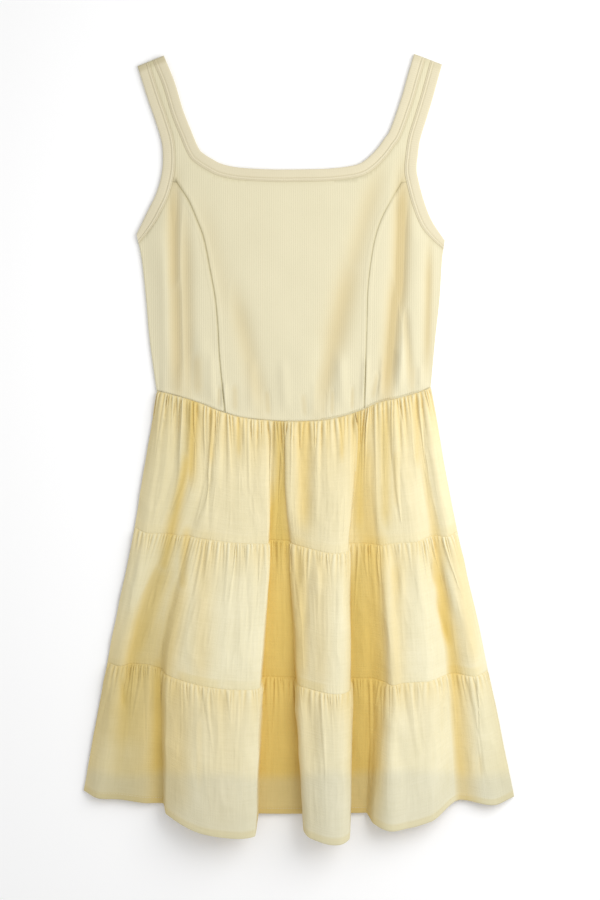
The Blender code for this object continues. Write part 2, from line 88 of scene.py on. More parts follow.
# Outline of the bodice, from the top of each strap down
NECK_EDGE = (
    (-154, 450), (-142, 421), (-132, 388), (-123, 365), (-114, 344), (-107, 337), (-99, 332),
    (-87, 326), (-67, 322), (-32, 320), (2, 320), (36, 321), (65, 325), (78, 332), (90, 344),
    (98, 355), (105, 366), (117, 400), (125, 428), (132, 452),
)
NECK_LEVEL = NECK_EDGE[7:13]
ARMHOLE_LEFT = (
    (-184, 438), (-172, 400), (-164, 377), (-157, 354), (-155, 337), (-156, 317), (-162, 294),
    (-172, 273), (-185, 246),
)
ARMHOLE_RIGHT = (
    (164, 440), (153, 400), (146, 377), (139, 354), (136, 333), (135, 320), (137, 308),
    (143, 285), (152, 262), (167, 239),
)
SIDE_LEFT = ((-185, 246), (-179, 217), (-174, 171), (-170, 125), (-162, 67))
SIDE_RIGHT = ((167, 239), (164, 217), (161, 171), (156, 125), (151, 71))
PRINCESS_LEFT = (
    (-140, 306), (-126, 285), (-116, 262), (-108, 240), (-101, 205), (-95, 171), (-92, 137),
    (-90, 102), (-84, 43),
)
PRINCESS_RIGHT = (
    (118, 306), (103, 280), (94, 262), (87, 240), (82, 211), (79, 182), (78, 148), (77, 114),
    (75, 47),
)
STRAP_ENDS = ((ARMHOLE_LEFT[0], NECK_EDGE[0]), (NECK_EDGE[-1], ARMHOLE_RIGHT[0]))

# Painted shade, a darker tint of the cloth's own colour, at the shoulder folds, the princess seams and the
# panels' other edges
STRAP_SHADES = (0.7, 0.2)
PRINCESS_SHADES = (1.0, 0.6)
EDGE_SHADE = 0.5

WAIST_SEAM = (
    (-161, 67), (-135, 60), (-113, 53), (-90, 44), (-67, 37), (-44, 34), (-10, 32), (25, 33),
    (47, 37), (70, 44), (93, 54), (116, 59), (139, 66), (151, 71),
)

# Level lines of the skirt where the cloth lies low. A raised fold reaches lower by its drop
SEAM_1 = ((-188, -91), (-150, -96), (-30, -103), (70, -107), (130, -101), (183, -95))
SEAM_2 = ((-219, -245), (-177, -244), (-150, -251), (-70, -258), (70, -261), (145, -256), (217, -254))
HEM = (
    (-246, -392), (-203, -397), (-154, -404), (-110, -412), (-20, -416), (70, -415), (125, -413),
    (150, -408), (185, -399), (246, -399),
)
Level = namedtuple("Level", "line drop")
LEVELS = (Level(WAIST_SEAM, 0.0), Level(SEAM_1, 0.7), Level(SEAM_2, 0.6), Level(HEM, 0.8))

# Lines that run down the skirt: x at five levels and height of the cloth at four
Fold = namedtuple("Fold", "name x_waist x_tier_1 x_seam_1 x_seam_2 x_hem z_waist z_seam_1 z_seam_2 z_hem")
FOLDS = (
    Fold("left edge", -161, -174, -187, -218, -245, 2.0, 2.0, 2.0, 2.0),
    Fold("left roll", -152, -163, -173, -203, -227, 6.0, 8.0, 9.0, 10.0),
    Fold("left valley", -124, -125, -150, -191, -203, 4.8, 4.8, 5.2, 8.0),
    Fold("left ridge", -116, -115, -136, -175, -179, 6.2, 6.0, 6.4, 8.5),
    Fold("second valley", -109, -109, -125, -157, -154, 5.4, 5.6, 5.8, 5.0),
    Fold("first ridge, left edge", -103, -102, -116, -149, -150, 6.8, 8.0, 15.0, 18.0),
    Fold("first ridge, crown", -64, -64, -61, -71, -73, 7.4, 13.0, 30.0, 38.0),
    Fold("first ridge, right edge", -38, -37, -36, -45, -50, 7.0, 12.0, 26.0, 34.0),
    Fold("first deep valley, left foot", -31, -33, -33, -41, -46, 4.8, 4.8, 4.8, 4.8),
    Fold("first deep valley, right foot", -14, -15, -11, -3, 5, 4.8, 4.8, 4.8, 4.8),
    Fold("second ridge, left edge", -12, -12, -6, 0, 7, 6.4, 9.5, 17.5, 28.0),
    Fold("second ridge, shoulder", 8, 8, 7, 12, 18, 6.8, 14.0, 24.0, 38.0),
    Fold("second ridge, crown", 42, 44, 42, 43, 42, 7.4, 22.0, 33.0, 45.0),
    Fold("second ridge, right edge", 64, 60, 55.5, 57.5, 57, 6.8, 18.0, 27.0, 38.0),
    Fold("second deep valley, left foot", 67, 63, 57.5, 59.5, 59, 4.8, 4.8, 4.8, 4.8),
    Fold("second deep valley, right foot", 77, 73, 72, 80, 77, 4.8, 4.8, 4.8, 4.8),
    Fold("third ridge, left edge", 82, 81, 88, 97, 86, 6.4, 8.0, 12.5, 19.0),
    Fold("third ridge, crown", 89, 90, 95, 108, 107, 7.0, 10.6, 21.0, 29.5),
    Fold("third valley", 97, 98, 104, 119, 125, 5.6, 9.6, 18.5, 26.5),
    Fold("right ridge", 116, 122, 132, 145, 150, 7.0, 12.0, 19.0, 24.0),
    Fold("right valley", 132, 142, 155, 176, 185, 4.8, 5.0, 5.5, 6.0),
    Fold("right roll", 143, 155, 170, 201, 221, 6.0, 9.0, 12.0, 13.0),
    Fold("right edge", 151, 165, 181, 216, 246, 2.0, 2.0, 2.0, 2.0),
)
X_LEVELS = (0.0, 0.5, 1.0, 2.0, 3.0)
Z_LEVELS = (0.0, 1.0, 2.0, 3.0)

# Front tiers: how they puff out, the number, height and length of the gathers under their upper seam, how
# rich the cloth looks from the layers below it, its cut width in metres, and the layer that it lies on
Tier = namedtuple("Tier", "node puff gathers height length seed richness cut_width rests_on")
TIERS = (
    Tier("skirt_tier_1_front", 1.0, 46, 1.0, 1.4, 3, 0.20, 0.46, "lining_front"),
    Tier("skirt_tier_2_front", 1.5, 64, 0.7, 0.9, 5, 0.08, 0.52, "lining_front"),
    Tier("skirt_tier_3_front", 1.5, 74, 0.7, 0.8, 8, 0.10, 0.62, "skirt_tier_3_back"),
)

# A crease or strip runs straight from its top to its end. Depth is a height, or the share of a tint
Crease = namedtuple("Crease", "x_top y_top x_end y_end width depth")

# Strips of painted shade along the folds, darker and richer: in part the real tone where folds of the lower
# layers show through the voile, in part the shade of the folds
LAYERS_AND_SHADE_STRIPS = (
    Crease(-118, 95, -124, -55, 7, 0.8),
    Crease(-121, 15, -150, -115, 7, 0.8),
    Crease(-137, -55, -158, -155, 8, 0.8),
    Crease(-146, -110, -192, -260, 12, 0.7),
    Crease(-162, -160, -212, -340, 22, 0.5),
    Crease(-127, -80, -133, -175, 6, 0.6),
    Crease(-130, -130, -160, -290, 12, 0.5),
    Crease(-22, 75, -21, -145, 8, 0.75),
    Crease(66, -80, 65, -440, 10, 0.8),
    Crease(24, -95, 26, -300, 12, 0.25),
    Crease(-90, -240, -88, -460, 32, 0.15),
    Crease(-98, 60, -99, -25, 3.5, 0.5),
    Crease(-69, 60, -68, -15, 3, 0.4),
    Crease(6, 70, 7, -110, 9, 0.55),
    Crease(49, 60, 49, -20, 3, 0.5),
    Crease(70, 70, 69, -120, 8, 0.75),
    Crease(76, 30, 90, -170, 12, 0.5),
    Crease(98, 65, 99, -110, 8, 0.6),
    Crease(109, -95, 111, -310, 13, 0.35),
    Crease(110, 10, 111, -75, 4, 0.3),
    Crease(134, 75, 135, -30, 4, 0.35),
    Crease(-106, -70, -112, -300, 12, 0.3),
    Crease(1, -80, 2, -290, 11, 0.5),
    Crease(86, -60, 91, -320, 14, 0.8),
    Crease(176, -80, 204, -270, 11, 0.35),
    Crease(148, -95, 176, -235, 6, 0.5),
    Crease(-160, -215, -160, -450, 9, 0.95),
    Crease(-138, -230, -136, -430, 18, 0.3),
    Crease(-203, -245, -202, -315, 6, 0.5),
    Crease(-190, -220, -198, -350, 26, 0.45),
    Crease(-112, -290, -112, -400, 6, 0.2),
    Crease(90, -230, 86, -420, 9, 0.5),
    Crease(222, -220, 246, -480, 13, 0.2),
)

# Strips where the cloth hangs in the shade of the folds beside it
SHADE_STRIPS = (
    Crease(-138, 130, -152, -150, 34, 0.4),
    Crease(-119, 80, -150, -110, 7, 0.75),
    Crease(-140, -60, -190, -320, 26, 0.8),
    Crease(-158, -215, -160, -440, 9, 0.4),
    Crease(98, 65, 100, -130, 9, 0.5),
    Crease(-22, 75, -21, -145, 8, 0.55),
    Crease(70, 70, 68, -140, 8, 0.4),
    Crease(67, -70, 66, -440, 11, 0.6),
    Crease(-186, -200, -208, -520, 34, 0.85),
    Crease(222, -200, 248, -520, 18, 0.7),
)

# Stretches where the seam allowance shows through above the last seam
Stretch = namedtuple("Stretch", "tier left right")
ALLOWANCE_SPOTS = (
    Stretch("skirt_tier_2_front", -136, -90),
    Stretch("skirt_tier_2_front", -2, 30),
    Stretch("skirt_tier_2_front", 170, 208),
)

# Layers of gathers on a tier: count as a share of its gathers, height, length, where they begin below the
# seam, how much painted shade darkens the cloth between them, and how narrow their crests are
Gathers = namedtuple("Gathers", "name share height length start richness power")
GATHER_LAYERS = (
    Gathers("fine", 1.7, 2.60, 24.0, 3.0, 0.65, 1.0),
    Gathers("middle", 0.62, 3.20, 50.0, 9.0, 0.15, 1.2),
    Gathers("coarse", 0.26, 1.80, 100.0, 30.0, 0.10, 2.0),
)

# How uneven the gathers are: least and most width, height and length, and how far they drift sideways
GATHER_WIDTHS = (0.4, 1.9)
GATHER_HEIGHTS = (0.4, 1.0)
GATHER_LENGTHS = (0.35, 1.7)
GATHER_DRIFT = 0.35
MOST_DRIFT = 2.0
GATHER_POWER = 1.3
GATHER_FALL = 1.4
# How fast the painted shade between gathers clears towards their crests
CREST_GAIN = 1.4

# Share of their height that gathers keep at the seam above them and at the one below
TOP_HELD = 0.15
FOOT_HELD = 0.35
SEAM_EASE = 22.0

# Crumple of the voile between its seams: cells across and down a tier, and height
Crumple = namedtuple("Crumple", "name across down height seed")
CRUMPLES = (
    Crumple("soft dents", 24, 3, 1.0, 11),
    Crumple("crinkles", 84, 6, 0.42, 12),
)
CRUMPLE_SHARPNESS = 1.6
CRUMPLE_EASE = 30.0

# Small puckers over each seam, as a share of the tier's gathers
PUCKER_SHARE = 2.0
PUCKER_HEIGHT = 0.45
PUCKER_LENGTH = 6.0

# Added to a tier's own seed
CRUMPLE_SEED = 100
LAYER_SEED = 20
PUCKER_SEED = 90
ALLOWANCE_SEED = 80
BACK_SEED = 7

# Puff of a tier, fading ends of its lesser folds and strips, and its rounded upper and lower edges
PUFF_RISE = 0.6
SKIRT_CREASE_TAPER = 0.4
STRIP_TAPER = 0.25
TOP_ROUND = 1.2
FOOT_ROUND = 3.0
RIM_RAISE = 0.5

# Painted shade that makes the voile darker and richer: between two folds, beside a high fold to its right,
# and near the left side, away from the key light
VALLEY_SLOPE = 0.13
VALLEY_DEPTH = 4.5
VALLEY_SHARE = 0.9
SHADE_DEPTH = 30.0
SIDE_SHADE = 0.08
SIDE_SHADE_X = (-70.0, -190.0)

# Just under the waist the folds run together over this width
WAIST_BLUR = 14.0
WAIST_BLUR_LEVEL = 0.16
BLUR_SAMPLES = 15

# Seam allowance and hem
ALLOWANCE_WIDTH = 9.0
ALLOWANCE_SOFTNESS = 0.7
ALLOWANCE_RAISE = 0.2
ALLOWANCE_SHARE = 0.2
ALLOWANCE_CELLS = (9, 1)
SPOT_SOFTNESS = 6.0
HEM_WIDTH = 7.0
HEM_SOFTNESS = 0.5
HEM_RAISE = 0.5
HEM_STITCH_UP = 5.8
HEM_GROOVE_WIDTH = 0.8
HEM_GROOVE_DEPTH = 0.35

# Where the cloth turns bare below the lining's hem
BARE_WAVE = 5.0
BARE_CELLS = (14, 1)
BARE_SOFTNESS = 9.0
BARE_SEED = 31

# Back tiers: points down and across, and their low gathers
BACK_TIER_GRID = (36, 150)
BACK_TIER_LENGTH = 140.0
BACK_GATHER_HEIGHT = 0.22
BACK_GATHER_LENGTH = 30.0
BACK_GATHER_SINK = 0.25

# Lining: points down and across, the levels whose side rolls it follows, and its turned hem
LINING_GRID = (60, 90)
LINING_LEVELS = (0.25, 2.75)
LINING_LEVEL_COUNT = 40
LINING_TOP_SHARE = 0.2
LINING_HEM_SHARE = 0.97
LINING_HEM_RAISE = 0.1

# Soft troughs and ridges of the bodice front: a straight line each, with a width and a depth
BODICE_CREASES = (
    Crease(-143, 340, -142, 130, 8, -4.2),
    Crease(-142, 250, -137, 20, 9, -3.8),
    Crease(-131, 310, -125, 10, 8, -2.8),
    Crease(-118, 310, -70, 120, 12, -1.0),
    Crease(-82, 215, -32, 5, 11, -2.2),
    Crease(100, 350, 44, 150, 12, -2.2),
    Crease(71, 260, 14, 0, 14, -3.5),
    Crease(121, 350, 112, 110, 9, -5.6),
    Crease(117, 250, 96, 10, 9, -5.2),
    Crease(118, 200, 131, 40, 5, -2.4),
    Crease(150, 260, 146, 60, 5, -3.6),
    Crease(120, 140, 112, 20, 5, 1.4),
    Crease(-112, 150, -106, 20, 8, 1.6),
    Crease(-154, 260, -153, 60, 6, 1.0),
    Crease(14, 140, -10, 20, 24, 1.8),
    Crease(48, 130, 42, 20, 10, 1.4),
)
CREASE_TAPER = 0.35

# Puckers that the waist seam draws into the bodice
PUCKER_GAIN = 2.9
BODICE_PUCKERS = (
    Crease(-134, 105, -134, 60, 5.0, 0.4),
    Crease(-117, 115, -115, 55, 6.0, -0.7),
    Crease(-100, 120, -98, 46, 5.0, 0.6),
    Crease(-91, 75, -91, 46, 2.0, -0.6),
    Crease(-84, 80, -85, 45, 2.5, 0.5),
    Crease(-73, 78, -72, 40, 3.5, -0.6),
    Crease(-54, 110, -52, 38, 6.0, 0.6),
    Crease(-37, 72, -34, 35, 3.0, -0.8),
    Crease(-19, 110, -14, 36, 6.0, 0.5),
    Crease(5, 66, 8, 35, 3.0, -0.5),
    Crease(18, 85, 17, 35, 4.0, 0.3),
    Crease(29, 68, 28, 35, 2.5, -0.6),
    Crease(39, 74, 38, 36, 2.5, -0.7),
    Crease(47, 115, 52, 40, 6.0, 0.6),
    Crease(62, 75, 61, 42, 2.0, -0.7),
    Crease(77, 112, 74, 50, 3.5, 0.6),
    Crease(92, 92, 84, 54, 3.0, -0.7),
    Crease(97, 115, 92, 54, 3.0, 0.6),
    Crease(107, 118, 101, 56, 4.0, -0.7),
    Crease(118, 120, 115, 60, 4.5, 0.6),
    Crease(131, 100, 129, 64, 3.5, -0.6),
    Crease(140, 100, 139, 66, 3.0, 0.4),
)

# Lesser folds of the skirt, between the folds of the table above
SKIRT_CREASES = (
    Crease(-99, 55, -104, -66, 5.0, -1.6),
    Crease(-50, 45, -42, -100, 8.0, 2.0),
    Crease(9, 25, 8, -110, 11.0, -3.0),
    Crease(-105, -109, -108, -175, 5.0, -1.2),
    Crease(-2, -118, -1, -162, 4.0, -1.5),
    Crease(21, -126, 21, -172, 5.0, 1.5),
    Crease(12, -133, 6, -225, 5.0, -2.0),
    Crease(118, -121, 118, -180, 3.0, 1.6),
    Crease(109, -161, 109, -203, 4.0, -0.8),
    Crease(147, -121, 153, -161, 5.0, -2.2),
    Crease(153, -161, 172, -229, 5.0, -2.2),
    Crease(164, -121, 186, -203, 5.0, 1.8),
    Crease(-202, -258, -200, -299, 4.0, -2.0),
    Crease(-134, -280, -134, -390, 8.0, -1.5),
    Crease(17, -283, 17, -363, 6.0, -1.6),
    Crease(113, -315, 113, -370, 8.0, -2.5),
    Crease(207, -340, 209, -378, 3.0, -1.0),
)

# Ribs of the bodice front, which fade in from each panel's edge
RIB_PITCH = 2.5
RIB_HEIGHT = 0.22
RIB_FADE = (0.2, 1.4)

# Raised lines on the bodice front. A pair is two distances between which a form or a shade fades in
PRINCESS_RAISE = 0.25
PRINCESS_FADE = (6.0, 4.5)
WAIST_RAISE = 0.7
WAIST_RAISE_UP = 2.0
WAIST_RAISE_WIDTH = 1.5
PUCKER_TAPER = 0.3
PUCKER_FADE = (0.3, 1.5)

# Painted shade on the bodice front: darker tints in its creases and puckers and along its seams
FULL_TINT_DEPTH = 5.0
PUCKER_TINT = 0.7
MOST_PUCKER_TINT = 0.45
EDGE_SHADE_FADE = (1.2, 0.2)
EDGE_SHADE_START = (1.5, 4.0)
PRINCESS_SHADE_FADE = (1.5, 0.4)

# Rows of points on a ribbed panel: along the ribs, a ring inside the outline, and rows above the waist,
# with the distances that keep them clear of each other
COLUMN_LENGTH = 4.0
COLUMN_CLEAR = 0.6 * COLUMN_LENGTH
RING_INSET = 0.9
RING_CLEAR = 0.8
WAIST_ROWS = (2.0, 3.4)
WAIST_ROW_CLEAR = 1.5
WAIST_CLEAR = 1.6

# Roll of the cloth over the shoulder folds
STRAP_ROUND = 2.6
STRAP_SHADE_FADE = (10.0, 4.0)

# Section of a binding: distance from its free edge, height as a share, and shade in its grooves
BandRow = namedtuple("BandRow", "across height shade")
BAND_HEIGHT = BODICE_WALL / 2 + BINDING_RAISE
BAND_ROWS = (
    BandRow(0.0, 0.0, 0.0),
    BandRow(0.25, 0.55, 0.0),
    BandRow(0.6, 0.82, 0.0),
    BandRow(1.2, 1.0, 0.0),
    BandRow(2.6, 1.06, 0.0),
    BandRow(4.2, 1.12, 0.0),
    BandRow(5.8, 1.12, 0.0),
    BandRow(7.4, 1.06, 0.0),
    BandRow(8.6, 1.0, 0.0),
    BandRow(9.2, 0.9, 0.1),
    BandRow(9.7, 0.68, 0.3),
    BandRow(10.1, 0.9, 0.1),
    BandRow(10.6, 1.14, 0.0),
    BandRow(11.2, 1.22, 0.0),
    BandRow(11.8, 1.14, 0.0),
    BandRow(12.2, 0.9, 0.1),
    BandRow(12.6, 0.68, 0.3),
    BandRow(13.0, 0.9, 0.1),
    BandRow(13.4, 0.9, 0.1),
    BandRow(13.7, 0.72, 0.4),
    BandRow(14.0, RIM_RAISE / BAND_HEIGHT, 0.6),
)
UNDER_ROWS = (4.7, 9.4)

# Ribs across a binding, high between two distances from its free edge and low beyond them
BAND_RIB_HEIGHT = 0.14
BAND_RIB_SPAN = (1.0, 9.0)
BAND_RIB_LOW = 0.3
# Share of painted shade that darkens the binding between its ribs
BAND_RIB_TONE = 0.3

# Stitches of a binding: their lines across it, their height as a share, and points left bare at its ends
STITCH_LINES = (9.7, 12.6)
STITCH_HEIGHT = 0.8
STITCH_ENDS = 4

# How far from its ends a binding bends to the shoulder folds and round the underarm, and its drop there
STRAP_REACH = 8.0
UNDERARM_REACH = 32.0
UNDERARM_DROP = 10.5

# Points this near are one place, and gaps are left where two stretches of an outline meet
TOUCH = 0.1
SIDE_CLEAR = 0.4
CUT_CLEAR = 1.0

# Size of a flat cut in metres, and its area where it isn't a rectangle
Cut = namedtuple("Cut", "width length area", defaults=(None,))

# Colours that multiply a cloth's own: the ends of its cloudy tone, and tints of painted shade in the
# bodice's creases and along its seams
VOILE_TONES = ((0.90, 0.89, 0.84, 1.0), (1.06, 1.07, 1.12, 1.0))
JERSEY_TONES = ((0.95, 0.95, 0.94, 1.0), (1.03, 1.03, 1.04, 1.0))
JERSEY_CREASE_SHADE = (0.86, 0.76, 0.57, 1.0)
JERSEY_SEAM_SHADE = (0.72, 0.70, 0.60, 1.0)
WHITE = (1.0, 1.0, 1.0, 1.0)

# Spacing of points on the front tiers, close at the seams, and how many the inner side leaves out
COLUMN_STEP = 0.85
ROW_STEP = 2.3
CLOSE_ROWS = (0.0, 0.5, 1.2, 2.4)
EVEN_ROWS_START = 4.0
INNER_EVERY = 4

# Spacing of points on outlines, on bindings and waist, inside the bodice front and over its back
OUTLINE_STEP = 1.25
STATION_STEP = 0.625
PANEL_INSIDE_STEP = 5.0
BODICE_BACK_STEP = 6.0
BACK_BAND_ROWS = 9
CURVE_SAMPLES = 12

# Least cosine at a corner that moves in, least distance between two points, and the angle that stays sharp
CORNER_LIMIT = 0.4
CLOSEST_POINTS = 1e-5
SHARP_ANGLE = 60

# Stage, in metres. The floor lies just under the cloth
FLOOR_SIZE = 12.0
FLOOR_Z = -0.0002
KEY_LIGHT_PLACE = (0.60, 0.2, 0.70)
CAMERA_PLACE = (0.0017, -0.0006)
SENSOR_WIDTH = 36.0


def clear_selection():
    bpy.ops.object.select_all(action="DESELECT")


def smooth_through(knots, values, at):
    """Values at `at` on a cubic through the knots that never overshoots between two of them."""
    knots = np.asarray(knots, float)
    values = np.asarray(values, float)
    steps = np.diff(knots)
    rises = np.diff(values) / steps
    slopes = np.zeros(len(knots))
    for i in range(1, len(knots) - 1):
        before, after = rises[i - 1], rises[i]
        if before * after > 0:
            first = 2 * steps[i] + steps[i - 1]
            second = steps[i] + 2 * steps[i - 1]
            slopes[i] = (first + second) / (first / before + second / after)
    slopes[0], slopes[-1] = rises[0], rises[-1]
    at = np.clip(at, knots[0], knots[-1])
    i = np.clip(np.searchsorted(knots, at, side="right") - 1, 0, len(steps) - 1)
    t = (at - knots[i]) / steps[i]
    return (
        values[i] * (1 + 2 * t) * (1 - t) ** 2
        + values[i + 1] * t * t * (3 - 2 * t)
        + steps[i] * (slopes[i] * t * (1 - t) ** 2 - slopes[i + 1] * t * t * (1 - t))
    )


def line_at(line, at):
    """y at each x of `at` on a smooth line through (x, y) points."""
    return smooth_through(*zip(*line), at)


def smoothstep(start, end, value):
    t = np.clip((value - start) / (end - start), 0.0, 1.0)
    return t * t * (3 - 2 * t)


def bump(distance, width):
    """1 on a line, falling softly to nothing about two widths away."""
    near = distance / width
    return np.exp(-near * near)


def up_to(edge, softness, value):
    """1 below an edge and 0 above it, with a soft step between."""
    return smoothstep(edge + softness, edge - softness, value)


def lengths_along(points):
    """Distance from the start of a polyline to each of its points."""
    return np.concatenate([[0], np.cumsum(np.linalg.norm(np.diff(points, axis=0), axis=1))])


def curve(points, step=OUTLINE_STEP):
    """An even polyline along a rounded curve through the points."""
    points = np.asarray(points, float)
    ends = np.vstack([2 * points[0] - points[1], points, 2 * points[-1] - points[-2]])
    dense = []
    for a, b, c, d in zip(ends, ends[1:], ends[2:], ends[3:]):
        for t in np.linspace(0, 1, CURVE_SAMPLES, endpoint=False):
            second = (2 * a - 5 * b + 4 * c - d) * t**2
            third = (3 * b - a - 3 * c + d) * t**3
            dense.append(0.5 * (2 * b + (c - a) * t + second + third))
    dense = np.array(dense + [points[-1]])
    along = lengths_along(dense)
    even = np.linspace(0, along[-1], max(2, round(along[-1] / step) + 1))
    return np.column_stack([np.interp(even, along, dense[:, 0]), np.interp(even, along, dense[:, 1])])


def moved_left(points, distance):
    """The polyline moved to its left, square to its own direction."""
    ahead = np.gradient(points, axis=0)
    ahead /= np.linalg.norm(ahead, axis=1)[:, None]
    return points + distance * np.column_stack([-ahead[:, 1], ahead[:, 0]])


def inset(outline, distance):
    """A closed outline, counter-clockwise, moved inwards with sharp corners kept."""
    before = outline - np.roll(outline, 1, axis=0)
    after = np.roll(outline, -1, axis=0) - outline
    before /= np.linalg.norm(before, axis=1)[:, None]
    after /= np.linalg.norm(after, axis=1)[:, None]
    inward = np.column_stack([-(before + after)[:, 1], (before + after)[:, 0]])
    inward /= np.linalg.norm(inward, axis=1)[:, None]
    cosine = np.clip(inward[:, 1] * after[:, 0] - inward[:, 0] * after[:, 1], CORNER_LIMIT, 1.0)
    return outline + inward * (distance / cosine)[:, None]


def closed(outline):
    return np.vstack([outline, outline[:1]])


def distance_to(line, points):
    """Distance from each point to the polyline."""
    best = np.full(len(points), np.inf)
    line = np.asarray(line, float)
    for a, b in zip(line[:-1], line[1:]):
        along = b - a
        t = np.clip(((points - a) @ along) / (along @ along), 0, 1)
        best = np.minimum(best, np.linalg.norm(points - a - t[:, None] * along, axis=1))
    return best


def inside(outline, points):
    """Whether each point is inside the closed outline."""
    odd = np.zeros(len(points), bool)
    for a, b in zip(outline, np.roll(outline, -1, axis=0)):
        crosses = (a[1] > points[:, 1]) != (b[1] > points[:, 1])
        rise = b[1] - a[1] if b[1] != a[1] else 1.0
        odd ^= crosses & (points[:, 0] < a[0] + (points[:, 1] - a[1]) * (b[0] - a[0]) / rise)
    return odd


def quarter_round(distance, radius):
    """0 at an edge, rising as a quarter circle to 1 at the radius."""
    return math.sqrt(max(0.0, 1 - (1 - min(distance / radius, 1.0)) ** 2))


def creased(creases, points, taper):
    """Deepest trough plus highest ridge of the creases at each point, faded over a share at both ends."""
    trough, ridge = np.zeros(len(points)), np.zeros(len(points))
    for crease in creases:
        start, end = np.array([(crease.x_top, crease.y_top), (crease.x_end, crease.y_end)], float)
        along = end - start
        share = np.clip(((points - start) @ along) / (along @ along), 0, 1)
        height = crease.depth * bump(distance_to((start, end), points), crease.width)
        height = height * smoothstep(0, taper, share) * smoothstep(1, 1 - taper, share)
        trough, ridge = np.minimum(trough, height), np.maximum(ridge, height)
    return trough + ridge


def wander(across, down, cells, seed):
    """A smooth random field from -1 to 1 over shares across and down a piece."""
    values = np.random.default_rng(seed).uniform(-1, 1, (cells[1] + 1, cells[0] + 1))
    x, y = np.clip(across, 0, 1) * cells[0], np.clip(down, 0, 1) * cells[1]
    i, j = np.minimum(x.astype(int), cells[0] - 1), np.minimum(y.astype(int), cells[1] - 1)
    u, v = smoothstep(0, 1, x - i), smoothstep(0, 1, y - j)
    upper = values[j, i] * (1 - u) + values[j, i + 1] * u
    lower = values[j + 1, i] * (1 - u) + values[j + 1, i + 1] * u
    return upper * (1 - v) + lower * v


def gathered(across, below, count, height, length, seed, power=GATHER_POWER):
    """Height of gathers, at shares across a piece and a distance below the seam that holds them."""
    random = np.random.default_rng(seed)
    edges = np.concatenate([[0], np.cumsum(random.uniform(*GATHER_WIDTHS, count))])
    edges /= edges[-1]
    edges[1:-1] += random.normal(0, GATHER_DRIFT / count, count - 1) * min(below / length, MOST_DRIFT)
    edges = np.sort(edges)
    heights = height * random.uniform(*GATHER_HEIGHTS, count)
    lengths = length * random.uniform(*GATHER_LENGTHS, count)
    cell = np.clip(np.searchsorted(edges, across, side="right") - 1, 0, count - 1)
    width = np.maximum(edges[cell + 1] - edges[cell], 1e-6)
    u = np.clip((across - edges[cell]) / width, 0, 1)
    return heights[cell] * np.sin(math.pi * u) ** power * np.exp(-((below / lengths[cell]) ** GATHER_FALL))


def crumpled(across, down, seed):
    """Height of the crumple: each layer is sharp along its creases and soft between them."""
    height = np.zeros(len(across))
    for layer in CRUMPLES:
        field = wander(across, np.full(len(across), down), (layer.across, layer.down), seed + layer.seed)
        height += layer.height * (1 - np.abs(field)) ** CRUMPLE_SHARPNESS
    return height


def strip(upper, upper_at, lower, lower_at):
    """Triangles between two rows of points that run the same way, each with its own spacing."""
    faces = []
    i = j = 0
    while i < len(upper) - 1 or j < len(lower) - 1:
        step_upper = j == len(lower) - 1 or (i < len(upper) - 1 and upper_at[i + 1] <= lower_at[j + 1])
        if step_upper:
            faces.append((upper[i], lower[j], upper[i + 1]))
            i += 1
        else:
            faces.append((upper[i], lower[j], lower[j + 1]))
            j += 1
    return faces


def grid_faces(rows, columns):
    """Quads of a grid whose points are listed row by row."""
    j, i = np.meshgrid(np.arange(rows - 1), np.arange(columns - 1), indexing="ij")
    a = (j * columns + i).ravel()
    return [tuple(face) for face in np.column_stack([a, a + columns, a + columns + 1, a + 1]).tolist()]


def wall(top, top_faces, under, under_faces, rim):
    """Points and faces of a closed sheet: an upper side, an under side and a rim between them."""
    shift = len(top)
    faces = top_faces + [tuple(i + shift for i in reversed(face)) for face in under_faces]
    faces += [(a, b, b + shift, a + shift) for a, b in zip(rim, rim[1:] + rim[:1])]
    return np.vstack([top, under]), faces


def triangulated(points, size, stretch=1.0):
    """Triangles over the points, of which the first `size` are the outline that bounds them."""
    places = [Vector(point) for point in points * stretch]
    made = delaunay_2d_cdt(places, [], [list(range(size))], 1, CLOSEST_POINTS)
    return [tuple(face) for face in made[2]]


def add_cloth(name, points, faces, cloth, masks=None):
    """One closed sheet from points in millimetres, with its own cloth coordinates and masks."""
    mesh = bpy.data.meshes.new(name)
    mesh.from_pydata((np.asarray(points) * MM).tolist(), [], faces)
    body = bmesh.new()
    body.from_mesh(mesh)
    bmesh.ops.recalc_face_normals(body, faces=body.faces)
    body.to_mesh(mesh)
    body.free()
    corner = np.empty(len(mesh.loops), np.int32)
    mesh.loops.foreach_get("vertex_index", corner)
    layer = mesh.uv_layers.new(name="cloth")
    layer.uv.foreach_set("vector", (np.asarray(cloth, np.float32) * MM)[corner].ravel())
    for mask, values in (masks or {}).items():
        field = mesh.attributes.new(mask, "FLOAT", "POINT")
        field.data.foreach_set("value", np.asarray(values, np.float32))
    mesh.shade_smooth()
    mesh.set_sharp_from_angle(angle=math.radians(SHARP_ANGLE))
    obj = bpy.data.objects.new(name, mesh)
    bpy.context.scene.collection.objects.link(obj)
    return obj


def dress(piece, material):
    """Lets a finished piece ride on the dress and take its finish."""
    piece.data.materials.append(material)
    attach(piece, BODY)


def lay(piece, node, material):
    """Lets a sheet of cloth stand for its solid."""
    dress(piece, material)
    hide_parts(node)


